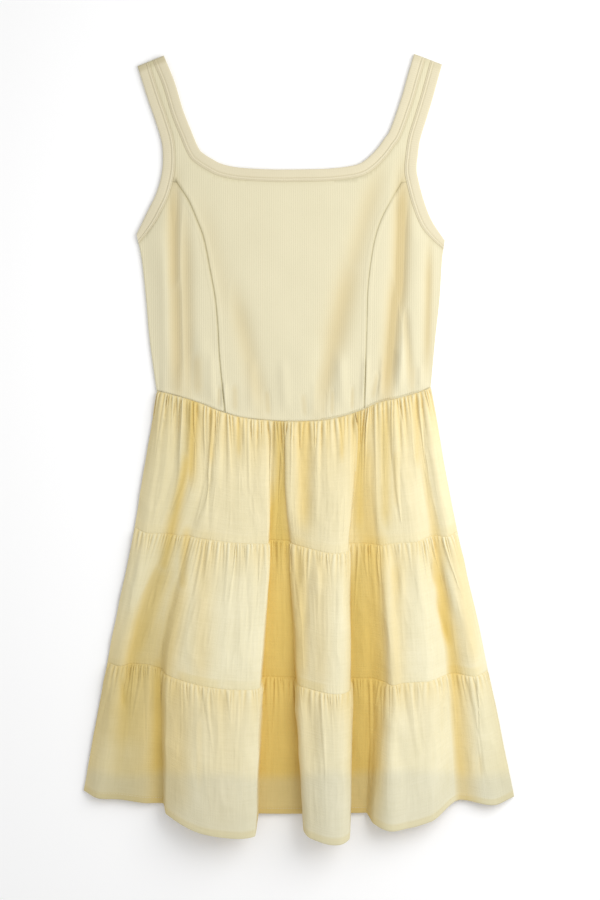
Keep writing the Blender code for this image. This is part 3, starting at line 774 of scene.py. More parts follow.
class Value:
    """A number from a shader socket: Python's operators add the Math nodes that work with it."""

    def __init__(self, shader, socket):
        self.shader = shader
        self.socket = socket

    def math(self, operation, *others, clamp=False):
        values = dict(enumerate((self, *others)))
        return self.shader.node("ShaderNodeMath", {"operation": operation, "use_clamp": clamp}, values)

    def __add__(self, other):
        return self.math("ADD", other)

    def __sub__(self, other):
        return self.math("SUBTRACT", other)

    def __rsub__(self, other):
        return self.shader.node("ShaderNodeMath", {"operation": "SUBTRACT"}, {0: other, 1: self})

    def __mul__(self, other):
        return self.math("MULTIPLY", other)

    __radd__ = __add__
    __rmul__ = __mul__

    def clamp(self):
        return self.math("ADD", 0.0, clamp=True)


class Shader:
    """One material: a Principled shader and the nodes that feed it."""

    # Sockets of a Mix node that mixes colours
    MIX_FACTOR, MIX_A, MIX_B, MIX_RESULT = 0, 6, 7, 2

    def __init__(self, name, **constants):
        self.material = bpy.data.materials.new(name)
        self.material.use_nodes = True
        self.tree = self.material.node_tree
        self.surface = self.tree.nodes["Principled BSDF"]
        for socket, value in constants.items():
            self.surface.inputs[socket.replace("_", " ")].default_value = value

    def node(self, kind, settings=None, inputs=None, output=0):
        made = self.tree.nodes.new(kind)
        for setting, value in (settings or {}).items():
            setattr(made, setting, value)
        for socket, value in (inputs or {}).items():
            self.join(made.inputs[socket], value)
        return Value(self, made.outputs[output])

    def join(self, socket, value):
        if isinstance(value, Value):
            self.tree.links.new(value.socket, socket)
        else:
            socket.default_value = value

    def feed(self, socket, value):
        self.join(self.surface.inputs[socket], value)

    def mix(self, share, first, second, blend="MIX"):
        """Mix of two colours."""
        kind = {"data_type": "RGBA", "blend_type": blend, "clamp_factor": True}
        colours = {self.MIX_FACTOR: share, self.MIX_A: first, self.MIX_B: second}
        return self.node("ShaderNodeMix", kind, colours, output=self.MIX_RESULT)

    def tint(self, share, colour, tone):
        """The colour multiplied by a tone, as far as the share says."""
        return self.mix(share, colour, tone, "MULTIPLY")

    def mask(self, name):
        return self.node("ShaderNodeAttribute", {"attribute_name": name}, output="Fac")

    def cloth_point(self, across, along):
        """The cloth's own coordinates, scaled across and along the piece."""
        flat = self.node("ShaderNodeUVMap", {"uv_map": "cloth"})
        return self.node("ShaderNodeMapping", None, {"Vector": flat, "Scale": (across, along, 1.0)})

    def noise(self, across, along, detail=2.0):
        """Noise from 0 to 1 with so many features to a metre across and along the cloth."""
        inputs = {"Vector": self.cloth_point(across, along), "Scale": 1.0, "Detail": detail}
        return self.node("ShaderNodeTexNoise", {"noise_dimensions": "2D"}, inputs)

    def object_noise(self, scale):
        """Noise from 0 to 1 with so many features to a metre of the object's own space."""
        point = self.node("ShaderNodeTexCoord", output="Object")
        return self.node("ShaderNodeTexNoise", None, {"Vector": point, "Scale": scale})

    def wave(self, pitch, axis):
        """A sine from -1 to 1 with the given pitch along axis 0 or 1 of the cloth."""
        point = self.cloth_point(1.0, 1.0)
        place = self.node("ShaderNodeSeparateXYZ", None, {"Vector": point}, output=axis)
        return (place * (2 * math.pi / pitch)).math("SINE")

    def tone(self, fine, fine_share, broad, broad_share):
        """A fine and a broad noise added up around one half."""
        return ((fine - 0.5) * fine_share + (broad - 0.5) * broad_share + 0.5).clamp()

    def relief(self, height, distance, strength):
        inputs = {"Height": height, "Distance": distance, "Strength": strength}
        self.feed("Normal", self.node("ShaderNodeBump", None, inputs))


def linear(colour, share=1.0):
    """A colour with its alpha, darkened to a share of itself."""
    return (*(share * part for part in colour), 1.0)


def voile_material(name, colours):
    """Semi-sheer plain weave: slubs both ways, painted shade that makes it darker and richer in deep folds,
    greyer past the lining's hem.
    """
    shader = Shader(name, Roughness=0.92, Sheen_Weight=0.06, Sheen_Roughness=0.5)
    warp = shader.noise(across=620.0, along=28.0)
    weft = shader.noise(across=34.0, along=560.0)
    cloud = shader.noise(across=30.0, along=22.0, detail=3.0)
    slubs = (warp + weft) * 0.5
    bare = shader.mask("bare")
    # Painted shade: darker, richer yellow deep in the folds, beside higher folds, between gathers and along
    # the strips, weaker past the lining's hem; in part the real tone of voile over folded layers
    rich = shader.mask("valley") * (1 - 0.2 * bare)
    colour = shader.mix(rich, linear(colours.voile), linear(colours.voile_deep))
    colour = shader.tint(bare, colour, linear(colours.bare_tint))
    colour = shader.tint(shader.mask("double"), colour, linear(colours.double_tint))
    colour = shader.tint(shader.mask("shade"), colour, linear(colours.shade_tint))
    shade = shader.mix(shader.tone(slubs, 0.7, cloud, 0.6), *VOILE_TONES)
    shader.feed("Base Color", shader.tint(1.0, colour, shade))
    threads = shader.wave(pitch=0.0009, axis=0) * shader.wave(pitch=0.0009, axis=1)
    shader.relief(slubs + threads * 0.12, distance=0.0006, strength=0.6)
    return shader.material


def jersey_material(name, colour, low_colour):
    """Fine rib jersey: the ribs themselves are in the mesh, the loops are fine relief; painted shade
    darkens the troughs between ribs, the creases and puckers, the seams, grooves and shoulder folds.
    """
    shader = Shader(name, Roughness=0.92, Sheen_Weight=0.10, Sheen_Roughness=0.6)
    loops = shader.noise(across=900.0, along=1100.0)
    cloud = shader.noise(across=24.0, along=18.0, detail=3.0)
    colour = shader.mix(shader.mask("rib"), low_colour, colour)
    colour = shader.tint(shader.mask("valley"), colour, JERSEY_CREASE_SHADE)
    colour = shader.tint(shader.mask("seam"), colour, JERSEY_SEAM_SHADE)
    shade = shader.mix(shader.tone(loops, 0.3, cloud, 0.8), *JERSEY_TONES)
    shader.feed("Base Color", shader.tint(1.0, colour, shade))
    shader.relief(loops, distance=0.0004, strength=0.5)
    return shader.material


def plain_material(name, colour):
    """Plain weave with a faint cloud of tone."""
    shader = Shader(name, Roughness=0.9)
    weave = shader.noise(across=700.0, along=700.0)
    cloud = shader.noise(across=26.0, along=20.0, detail=3.0)
    shader.feed("Base Color", shader.mix((weave + cloud) * 0.5, linear(colour, 0.94), linear(colour)))
    shader.relief(weave, distance=0.0004, strength=0.4)
    return shader.material


def thread_material(colour):
    """Twisted sewing thread."""
    shader = Shader("sewing thread", Roughness=0.6)
    shader.feed("Base Color", shader.mix(shader.object_noise(1800.0), linear(colour, 0.88), linear(colour)))
    return shader.material


def floor_material(colour):
    """Pale studio floor with a faint grain."""
    shader = Shader("studio floor", Roughness=0.9)
    shader.feed("Base Color", shader.mix(shader.object_noise(3.0), linear(colour, 0.985), linear(colour)))
    return shader.material


def fold_columns():
    """For each column down the skirt, the fold line to its left and the share of the way to the next.

    Each stretch between two folds has columns enough for the level where its cloth is widest.
    """
    levels = ("waist", "seam_1", "seam_2", "hem")
    spots = []
    for i, (fold, after) in enumerate(zip(FOLDS, FOLDS[1:])):
        spans = []
        for level in levels:
            across = getattr(after, "x_" + level) - getattr(fold, "x_" + level)
            rise = getattr(after, "z_" + level) - getattr(fold, "z_" + level)
            spans.append(math.hypot(across, rise))
        count = math.ceil(max(spans) / COLUMN_STEP)
        spots += [(i, step / count) for step in range(count)]
    spots.append((len(FOLDS) - 1, 0.0))
    index, share = zip(*spots)
    return np.array(index), np.array(share)


def columns_at_folds():
    """Columns that lie on the fold lines alone."""
    return np.arange(len(FOLDS)), np.zeros(len(FOLDS))


def fold_profile(level, columns):
    """x and z of every column at a level: 0 waist, 1 and 2 the seams, 3 the hem."""
    xs = np.array([smooth_through(X_LEVELS, fold[1:6], level) for fold in FOLDS])
    zs = np.array([smooth_through(Z_LEVELS, fold[6:10], level) for fold in FOLDS])
    index, share = columns
    x = xs[index] + share * (np.append(xs[1:], xs[-1])[index] - xs[index])
    z = smooth_through(xs, zs, x)
    blur = float(smoothstep(WAIST_BLUR_LEVEL, 0, level))
    if blur:
        around = np.linspace(-WAIST_BLUR, WAIST_BLUR, BLUR_SAMPLES)
        soft = np.mean([smooth_through(xs, zs, x + shift) for shift in around], axis=0)
        inner = smoothstep(0, WAIST_BLUR, np.minimum(x - xs[0], xs[-1] - x))
        z = z + blur * inner * (soft - z)
    return x, z


def level_y(index, x, z):
    level = LEVELS[index]
    return line_at(level.line, x) - level.drop * (z - LOW)


def outward(x, z):
    """Unit vectors in the XZ plane, square to the cross-section, pointing up."""
    along_x, along_z = np.gradient(x), np.gradient(z)
    length = np.hypot(along_x, along_z)
    return np.column_stack([-along_z / length, np.zeros(len(x)), along_x / length])


def row_shares(length):
    """Shares of the way down a tier: close rows at both seams, even rows between."""
    close = np.array(CLOSE_ROWS)
    count = round((length - 2 * EVEN_ROWS_START) / ROW_STEP)
    even = np.linspace(EVEN_ROWS_START, length - EVEN_ROWS_START, count)
    return np.concatenate([close, even, length - close[::-1]]) / length


# One row of a tier: its points in the middle, outside and inside of the cloth, the way out, and its masks
Row = namedtuple("Row", "middle outer inner out below double trough rich shade")


class FrontTier:
    """The fine surface of one gathered tier: rows of points from its upper seam to its lower edge."""

    def __init__(self, index):
        self.index = index
        self.tier = TIERS[index]
        self.last = index == len(TIERS) - 1
        self.columns = fold_columns()
        self.top_y = level_y(index, *fold_profile(float(index), self.columns))
        self.foot_y = level_y(index + 1, *fold_profile(float(index + 1), self.columns))
        self.length = float(np.median(self.top_y - self.foot_y))
        x, z = fold_profile(index + 0.5, self.columns)
        self.arc = np.concatenate([[0], np.cumsum(np.hypot(np.diff(x), np.diff(z)))])
        self.share_across = self.arc / self.arc[-1]
        self.rows = [self.row(share) for share in row_shares(self.length)]

    def row(self, share):
        """Points and masks at a share of the way down the tier."""
        x, z = fold_profile(self.index + share, self.columns)
        y = self.top_y + (self.foot_y - self.top_y) * share
        plan = np.column_stack([x, y])
        puff = self.tier.puff * math.sin(math.pi * share**PUFF_RISE)
        z = z + puff * smoothstep(FOLDS[0].z_waist, LOW, z)
        z = np.maximum(z + creased(SKIRT_CREASES, plan, SKIRT_CREASE_TAPER), np.minimum(z, LOW))
        out = outward(x, z)
        below, above = share * self.length, (1 - share) * self.length
        fine, trough = self.gathers(below, above)
        edging, double = self.edging(x, share, above)
        clear = float(smoothstep(0, CRUMPLE_EASE, min(below, above)))
        fine = fine + edging + clear * crumpled(self.share_across, share, CRUMPLE_SEED * self.tier.seed)
        rounding = quarter_round(below, TOP_ROUND) * quarter_round(above, FOOT_ROUND)
        raised = RIM_RAISE + (SKIRT_WALL / 2 + fine - RIM_RAISE) * rounding
        middle = np.column_stack([x, y, z])
        return Row(
            middle=middle, outer=middle + out * raised[:, None], inner=middle - out * SKIRT_WALL / 2,
            out=out, below=below, double=double, trough=trough,
            rich=creased(LAYERS_AND_SHADE_STRIPS, plan, STRIP_TAPER), shade=creased(SHADE_STRIPS, plan, STRIP_TAPER),
        )

    def gathers(self, below, above):
        """Height of the gathers at a distance from both seams, and the painted shade in the troughs between
        them.
        """
        tier, at = self.tier, self.share_across
        free = float(smoothstep(0, SEAM_EASE, above))
        fade = 1.0 if self.last else FOOT_HELD + (1 - FOOT_HELD) * free
        fine, open_share = np.zeros(len(at)), np.ones(len(at))
        for number, layer in enumerate(GATHER_LAYERS):
            count = round(tier.gathers * layer.share)
            length = layer.length * tier.length
            shape = gathered(at, below, count, 1.0, length, tier.seed + LAYER_SEED * number, layer.power)
            held = TOP_HELD + (1 - TOP_HELD) * float(smoothstep(0, layer.start, below))
            fine += tier.height * layer.height * shape * held * fade
            reach = math.exp(-((below / length) ** GATHER_FALL))
            between = 1 - np.clip(CREST_GAIN * shape, 0, 1)
            open_share *= 1 - layer.richness * tier.height * reach * between
        return fine, 1 - open_share

    def edging(self, x, share, above):
        """Height that the hem or the seam allowance adds, and how doubled the cloth is there."""
        tier, at = self.tier, self.share_across
        if self.last:
            in_hem = float(up_to(HEM_WIDTH, HEM_SOFTNESS, above))
            groove = float(bump(above - HEM_STITCH_UP, HEM_GROOVE_WIDTH))
            return HEM_RAISE * in_hem - HEM_GROOVE_DEPTH * groove, np.full(len(at), in_hem)
        count = round(PUCKER_SHARE * tier.gathers)
        pucker = gathered(at, above, count, PUCKER_HEIGHT, PUCKER_LENGTH, tier.seed + PUCKER_SEED)
        in_allowance = float(up_to(ALLOWANCE_WIDTH, ALLOWANCE_SOFTNESS, above))
        down = np.full(len(at), share)
        patches = wander(at, down, ALLOWANCE_CELLS, tier.seed + ALLOWANCE_SEED)
        patchy = ALLOWANCE_SHARE + ALLOWANCE_SHARE * patches
        for spot in ALLOWANCE_SPOTS:
            if spot.tier == tier.node:
                begun = smoothstep(spot.left - SPOT_SOFTNESS, spot.left + SPOT_SOFTNESS, x)
                patchy = np.maximum(patchy, begun * up_to(spot.right, SPOT_SOFTNESS, x))
        return pucker + ALLOWANCE_RAISE * in_allowance, in_allowance * patchy

    def mesh(self):
        """Points, faces, cloth coordinates and masks: a fine outer side over a coarser inner one."""
        rows, columns = len(self.rows), len(self.arc)
        outer = np.array([row.outer for row in self.rows])
        inner_rows = [0, *range(INNER_EVERY, rows - INNER_EVERY, INNER_EVERY), rows - 1]
        inner_columns = sorted({*range(0, columns, INNER_EVERY), columns - 1})
        between = inner_columns[1:-1]
        points = [outer.reshape(-1, 3)]
        lines = []
        first = rows * columns
        for r in inner_rows:
            start, end = r * columns, (r + 1) * columns - 1
            if r in (0, rows - 1):
                lines.append((range(start, end + 1), range(columns)))
                continue
            points.append(self.rows[r].inner[between])
            lines.append(([start, *range(first, first + len(between)), end], inner_columns))
            first += len(between)
        faces = grid_faces(rows, columns)
        for upper, lower in zip(lines, lines[1:]):
            faces += [face[::-1] for face in strip(*upper, *lower)]
        for upper, lower in zip(inner_rows, inner_rows[1:]):
            left = [r * columns for r in range(upper, lower + 1)]
            faces += [tuple(left), tuple(i + columns - 1 for i in reversed(left))]
        points = np.vstack(points)
        spare = len(points) - rows * columns
        below = np.repeat([row.below for row in self.rows], columns)
        cloth = np.column_stack([np.tile(self.arc, rows), below])
        cloth = np.vstack([cloth, np.zeros((spare, 2))])
        masks = {
            "double": [row.double for row in self.rows], "shade": [row.shade for row in self.rows],
            "bare": self.bare(outer),
        }
        masks = {name: np.append(values, np.zeros(spare)) for name, values in masks.items()}
        # Painted fold shade; the unseen inner side takes it in full
        masks["valley"] = np.append(self.valley(), np.ones(spare))
        return points, faces, cloth, masks

    def valley(self):
        """Painted shade, 0 to 1: deep between the folds to left and right, beside higher folds, between
        gathers.
        """
        depths = []
        for row in self.rows:
            x, z = row.middle[:, 0], row.middle[:, 2]
            fall = VALLEY_SLOPE * x
            left = np.maximum.accumulate(z + fall) - fall
            right = np.maximum.accumulate((z - fall)[::-1])[::-1] + fall
            rim = np.minimum(left, right)
            between = np.clip((rim - z) / np.maximum(VALLEY_SHARE * (rim - LOW), VALLEY_DEPTH), 0, 1)
            side = SIDE_SHADE * smoothstep(*SIDE_SHADE_X, x)
            shaded = np.clip((right - z) / SHADE_DEPTH + side, 0, 1)
            open_share = (1 - between) * (1 - shaded) * (1 - self.tier.richness)
            depths.append(1 - open_share * (1 - row.trough) * (1 - row.rich))
        return np.array(depths)

    def bare(self, outer):
        """1 where no lining lies below the cloth."""
        if not self.last:
            return np.zeros(outer.shape[:2])
        wave = wander(self.share_across, np.zeros(len(self.arc)), BARE_CELLS, BARE_SEED)
        return up_to(LINING_HEM_Y + BARE_WAVE * wave, BARE_SOFTNESS, outer[..., 1])


def flat_tier(index):
    """Upper side of a tier's back: rows of points between its two seams, with low gathers."""
    rows, columns = BACK_TIER_GRID
    tier = TIERS[index]
    at = np.linspace(0, 1, columns)
    hem_lift = BACK_HEM_INSET if index == len(TIERS) - 1 else 0.0
    points = []
    for share in np.linspace(0, 1, rows):
        edges = fold_profile(index + share, columns_at_folds())[0]
        x = np.linspace(edges[0] + BACK_INSET, edges[-1] - BACK_INSET, columns)
        upper = line_at(LEVELS[index].line, x) - SEAM_GAP / 2
        lower = line_at(LEVELS[index + 1].line, x) + hem_lift + SEAM_GAP / 2
        relief = gathered(
            at, share * BACK_TIER_LENGTH, 2 * tier.gathers, BACK_GATHER_HEIGHT, BACK_GATHER_LENGTH,
            tier.seed + BACK_SEED,
        )
        z = BACK_SKIRT_WALL - BACK_GATHER_SINK + relief
        points.append(np.column_stack([x, upper * (1 - share) + lower * share, z]))
    return np.array(points)


def add_slab(name, top, under):
    """A closed thin sheet from a grid of points on its upper side, with a flat underside."""
    rows, columns = top.shape[:2]
    low = top.copy()
    low[..., 2] = under
    last = (rows - 1) * columns
    rim = [*range(columns), *range(2 * columns - 1, rows * columns, columns)]
    rim += [*range(rows * columns - 2, last - 1, -1), *range(last - columns, 0, -columns)]
    faces = grid_faces(rows, columns)
    points, faces = wall(top.reshape(-1, 3), faces, low.reshape(-1, 3), faces, rim)
    return add_cloth(name, points, faces, points[:, :2], {"rib": np.ones(len(points))})


def side_roll(fold):
    """The line of a side roll down the skirt, as rising y and the x at each."""
    line = []
    for level in np.linspace(*LINING_LEVELS, LINING_LEVEL_COUNT):
        x = float(smooth_through(X_LEVELS, fold[1:6], level))
        upper, share = int(level), level - int(level)
        y = (1 - share) * line_at(LEVELS[upper].line, x) + share * line_at(LEVELS[upper + 1].line, x)
        line.append((float(y), x))
    return np.array(sorted(line)).T


def lining_grid(under):
    """Rows of points over the lining, from the waist seam to its own hem."""
    rows, columns = LINING_GRID
    left_roll, right_roll = FOLDS[1], FOLDS[-2]
    left_line, right_line = side_roll(left_roll), side_roll(right_roll)
    at = np.linspace(0, 1, columns)
    top_x = np.linspace(left_roll.x_waist, right_roll.x_waist, columns)
    top_y = line_at(WAIST_SEAM, top_x) - SEAM_GAP / 2
    points = []
    for share in np.linspace(0, 1, rows):
        y = top_y * (1 - share) + LINING_HEM_Y * share
        blend = min(share / LINING_TOP_SHARE, 1.0)
        left = np.interp(y, *left_line) * blend + left_roll.x_waist * (1 - blend)
        right = np.interp(y, *right_line) * blend + right_roll.x_waist * (1 - blend)
        sunk = 0.0 if share > LINING_HEM_SHARE else LINING_HEM_RAISE
        z = np.full(columns, under + LINING_WALL - sunk)
        points.append(np.column_stack([left * (1 - at) + right * at, y, z]))
    return np.array(points)


class BodiceForm:
    """Heights of the bodice front over the table of creases."""

    def __init__(self):
        self.left = np.vstack([curve(ARMHOLE_LEFT), curve(SIDE_LEFT)[1:]])
        self.right = np.vstack([curve(ARMHOLE_RIGHT), curve(SIDE_RIGHT)[1:]])
        self.waist_x, self.waist_z = fold_profile(0.0, columns_at_folds())

    def middle(self, points):
        x, y = points[:, 0], points[:, 1]
        from_side = np.minimum(distance_to(self.left, points), distance_to(self.right, points))
        fullness = smoothstep(0, SIDE_SLOPE, from_side)
        below_neck = smoothstep(0, NECK_EASE, line_at(NECK_LEVEL, x) - y)
        full = BODICE_FULLNESS * fullness
        full *= NECK_FULLNESS + (1 - NECK_FULLNESS) * below_neck
        troughs = creased(BODICE_CREASES, points, CREASE_TAPER)
        chest = FRONT_BODICE_LOW + np.maximum(full + troughs * fullness, 0.0)
        seam = np.maximum(smooth_through(self.waist_x, self.waist_z, x), FRONT_BODICE_LOW)
        share = bump(y - line_at(WAIST_SEAM, x), WAIST_REACH)
        return chest * (1 - share) + seam * share


def strap_round(points):
    """1 on the dress, falling as a quarter round to the fold at the end of each strap."""
    near = np.minimum(*[distance_to(end, points) for end in STRAP_ENDS])
    t = np.clip(near / STRAP_ROUND, 0, 1)
    return np.sqrt(1 - (1 - t) ** 2)


def strap_shade(points):
    """Painted shade where the cloth rolls over the shoulder fold: how much darker it is."""
    shares = []
    for end, share in zip(STRAP_ENDS, STRAP_SHADES):
        shares.append(share * smoothstep(*STRAP_SHADE_FADE, distance_to(end, points)))
    return np.maximum(*shares)


def rib_wave(at):
    return 0.5 + 0.5 * np.cos(2 * math.pi * at / RIB_PITCH)


def rib_points(outline):
    """Points in columns that follow the ribs, four to a rib, and triangles over them."""
    steps = np.array([RIB_PITCH / 4, COLUMN_LENGTH])
    square = np.array([steps[1] / steps[0], 1.0])
    low, high = np.ceil(outline.min(axis=0) / steps), np.floor(outline.max(axis=0) / steps)
    i, j = np.meshgrid(np.arange(low[0], high[0] + 1), np.arange(low[1], high[1] + 1))
    spots = np.column_stack([i.ravel(), j.ravel()]) * steps
    ring = inset(outline, RING_INSET)
    clear = distance_to(closed(ring) * square, spots * square) > COLUMN_CLEAR
    from_waist = spots[:, 1] - line_at(WAIST_SEAM, spots[:, 0])
    spots = spots[inside(ring, spots) & clear & (from_waist > WAIST_ROWS[-1] + WAIST_CLEAR)]
    ring = ring[distance_to(closed(outline), ring) > RING_CLEAR]
    rows = []
    for up in WAIST_ROWS:
        x = np.arange(low[0], high[0] + 1) * steps[0]
        row = np.column_stack([x, line_at(WAIST_SEAM, x) + up])
        rows.append(row[inside(outline, row) & (distance_to(closed(outline), row) > WAIST_ROW_CLEAR)])
    points = np.vstack([outline, ring, *rows, spots])
    return points, triangulated(points, len(outline), square)


def coarse_points(outline, step):
    """Points a step apart inside the outline, and triangles over them."""
    (left, low), (right, high) = outline.min(axis=0), outline.max(axis=0)
    i, j = np.meshgrid(np.arange(left + step / 2, right, step), np.arange(low + step / 2, high, step))
    spots = np.column_stack([i.ravel(), j.ravel()])
    clear = distance_to(closed(outline), spots) > step / 2
    points = np.vstack([outline, spots[inside(outline, spots) & clear]])
    return points, triangulated(points, len(outline))


def add_rib_panel(name, outline, form, seams):
    """A ribbed front panel: ribs on the face, plain inside, edges rounded into its seams."""
    size = len(outline)
    face, face_faces = rib_points(outline)
    inner, inner_faces = coarse_points(outline, PANEL_INSIDE_STEP)
    from_edge = distance_to(closed(outline), face)
    from_seams = [distance_to(seam, face) for seam in seams]
    from_waist = face[:, 1] - line_at(WAIST_SEAM, face[:, 0])
    wave = rib_wave(face[:, 0])
    puckers = creased(BODICE_PUCKERS, face, PUCKER_TAPER)
    raised = BODICE_WALL / 2 + RIB_HEIGHT * wave * smoothstep(*RIB_FADE, from_edge)
    raised += PRINCESS_RAISE * smoothstep(*PRINCESS_FADE, np.minimum(*from_seams))
    raised += WAIST_RAISE * bump(from_waist - WAIST_RAISE_UP, WAIST_RAISE_WIDTH)
    raised += PUCKER_GAIN * puckers * smoothstep(*PUCKER_FADE, from_edge)
    raised = np.where(np.arange(len(face)) < size, RIM_RAISE, np.maximum(raised, RIM_RAISE))
    top = np.column_stack([face, form.middle(face) + raised * strap_round(face)])
    under = np.column_stack([inner, form.middle(inner) - BODICE_WALL / 2])
    points, faces = wall(top, face_faces, under, inner_faces, list(reversed(range(size))))
    # Painted shade: a darker, richer tint in the creases and pucker troughs, and a darker tint along the
    # seams, the panel edges and the shoulder folds
    valley = np.clip(-creased(BODICE_CREASES, face, CREASE_TAPER) / FULL_TINT_DEPTH, 0, 1)
    valley = np.maximum(valley, np.clip(-PUCKER_TINT * puckers, 0, MOST_PUCKER_TINT))
    edged = EDGE_SHADE * smoothstep(*EDGE_SHADE_START, from_waist)
    painted_shade = np.maximum(strap_shade(face), edged * smoothstep(*EDGE_SHADE_FADE, from_edge))
    for from_seam, share in zip(from_seams, PRINCESS_SHADES):
        painted_shade = np.maximum(painted_shade, share * smoothstep(*PRINCESS_SHADE_FADE, from_seam))
    plain = np.zeros(len(inner))
    # rib carries the painted shade between the ribs, valley and seam the painted shade above
    masks = {
        "rib": np.append(wave, plain + 1.0), "valley": np.append(valley, plain),
        "seam": np.append(painted_shade, plain),
    }
    return add_cloth(name, points, faces, points[:, :2], masks)


def beside(line, distance):
    """The line moved to its left, with its ends brought to the shoulder folds and the side seams."""
    moved = moved_left(line, distance)
    for last, near, after in ((0, line[0], line[1]), (-1, line[-1], line[-2])):
        for fold in STRAP_ENDS:
            start, end = np.array(fold, float)
            if min(np.linalg.norm(near - start), np.linalg.norm(near - end)) > TOUCH:
                continue
            ahead, across_strap = near - after, end - start
            ahead = ahead / np.linalg.norm(ahead)
            gap = start - moved[last]
            turn = ahead[0] * across_strap[1] - ahead[1] * across_strap[0]
            slide = (gap[0] * across_strap[1] - gap[1] * across_strap[0]) / turn
            away = np.linalg.norm(line - near, axis=1)
            moved = moved + (slide * np.clip(1 - away / STRAP_REACH, 0, 1))[:, None] * ahead
    for side in (SIDE_LEFT, SIDE_RIGHT):
        tip, lower = np.array(side[:2], float)
        if np.linalg.norm(line[-1] - tip) < TOUCH:
            seam = (lower - tip) / np.linalg.norm(lower - tip)
            shift = tip + seam * UNDERARM_DROP * abs(distance) / BINDING_WIDTH - moved[-1]
            away = np.linalg.norm(line - tip, axis=1)
            moved = moved + np.clip(1 - away / UNDERARM_REACH, 0, 1)[:, None] ** 2 * shift
    return moved


def below_binding(side, seam):
    """The side seam from the lower end of the armhole's binding down to the waist."""
    line = curve(side)
    return line[line[:, 1] < seam[-1][1] - SIDE_CLEAR][:-1]


def add_binding(name, edge_line, side, form):
    """A crowned rib band along an edge, with two grooves for its stitches. side is 1 or -1."""
    even = curve(edge_line, STATION_STEP)
    along = lengths_along(even)
    wave = rib_wave(along)
    layers, cloths, shades = [], [], []
    for row in BAND_ROWS:
        plan = beside(even, side * row.across)
        ribs = 1.0 if BAND_RIB_SPAN[0] < row.across < BAND_RIB_SPAN[1] else BAND_RIB_LOW
        raised = BAND_HEIGHT * row.height + BAND_RIB_HEIGHT * wave * ribs
        top = form.middle(plan) + raised * strap_round(plan) * (row.height > 0)
        layers.append(np.column_stack([plan, top]))
        cloths.append(np.column_stack([along, np.full(len(along), row.across)]))
        shades.append(np.maximum(row.shade, strap_shade(plan)))
    for width in UNDER_ROWS:
        plan = beside(even, side * width)
        layers.append(np.column_stack([plan, form.middle(plan) - BODICE_WALL / 2]))
        cloths.append(np.column_stack([along, np.full(len(along), width)]))
        shades.append(np.zeros(len(along)))
    rows, columns = len(BAND_ROWS), len(even)
    faces = grid_faces(rows, columns)
    section = [rows - 1, rows + 1, rows, 0]
    for upper, lower in zip(section, section[1:]):
        a = upper * columns + np.arange(columns - 1)
        b = lower * columns + np.arange(columns - 1)
        faces += [tuple(face) for face in np.column_stack([a, b, b + 1, a + 1]).tolist()]
    start = [r * columns for r in (*range(rows), rows + 1, rows)]
    faces += [tuple(reversed(start)), tuple(i + columns - 1 for i in start)]
    # Painted shade: between the band's ribs, and in its grooves, at its inner edge and over the shoulder
    # folds
    rib = np.tile(1 - BAND_RIB_TONE + BAND_RIB_TONE * wave, len(layers))
    masks = {"rib": rib, "seam": np.concatenate(shades)}
    return add_cloth(name, np.vstack(layers), faces, np.vstack(cloths), masks)


def back_binding(edge_line, side):
    """Rows of points on the flat band at the back, a little narrower than the front's."""
    even = curve(edge_line)
    margin = BACK_INSET / 2 + SEAM_GAP / 2
    rows = []
    for width in np.linspace(margin, BINDING_WIDTH - margin, BACK_BAND_ROWS):
        plan = beside(even, side * width)
        rows.append(np.column_stack([plan, np.full(len(plan), BODICE_WALL)])[1:-1])
    return np.array(rows)


def cut_at(line, start):
    """The part of a falling polyline from the height `start` down, beginning exactly there."""
    x = np.interp(-start, -line[:, 1], line[:, 0])
    return np.vstack([[x, start], line[line[:, 1] < start - CUT_CLEAR]])


def cut_above(line, end):
    """The part of a falling polyline above the height `end`, ending exactly there."""
    x = np.interp(-end, -line[:, 1], line[:, 0])
    return np.vstack([line[line[:, 1] > end + CUT_CLEAR], [x, end]])


def waist_between(left_x, right_x):
    """The waist seam from one x to another."""
    x = np.linspace(left_x, right_x, max(2, round((right_x - left_x) / STATION_STEP) + 1))
    return np.column_stack([x, line_at(WAIST_SEAM, x)])


def panel_outlines():
    """Outlines of the bodice's panels, counter-clockwise, and the two princess seams."""
    neck = beside(curve(NECK_EDGE), -BINDING_WIDTH)
    left = beside(curve(ARMHOLE_LEFT), BINDING_WIDTH)
    right = beside(curve(ARMHOLE_RIGHT), -BINDING_WIDTH)
    princess_left, princess_right = curve(PRINCESS_LEFT), curve(PRINCESS_RIGHT)
    left_y, right_y = PRINCESS_LEFT[0][1], PRINCESS_RIGHT[0][1]
    left_x, right_x = princess_left[-1][0], princess_right[-1][0]
    side_left_x, side_right_x = SIDE_LEFT[-1][0], SIDE_RIGHT[-1][0]
    side_left, side_right = below_binding(SIDE_LEFT, left), below_binding(SIDE_RIGHT, right)
    outlines = {
        "centre": (
            cut_above(left, left_y), princess_left[1:-1], waist_between(left_x, right_x),
            princess_right[1:-1][::-1], cut_above(right, right_y)[::-1], neck[::-1],
        ),
        "side_left": (
            side_left, waist_between(side_left_x, left_x), princess_left[1:-1][::-1], cut_at(left, left_y),
        ),
        "side_right": (
            cut_at(right, right_y)[::-1], princess_right[1:-1], waist_between(right_x, side_right_x),
            side_right[::-1],
        ),
        "back": (
            left, side_left, waist_between(side_left_x, side_right_x), side_right[::-1], right[::-1],
            neck[::-1],
        ),
    }
    outlines = {name: np.vstack(lines) for name, lines in outlines.items()}
    outlines["back"] = inset(outlines["back"], BACK_PANEL_INSET)
    return outlines, (princess_left, princess_right)


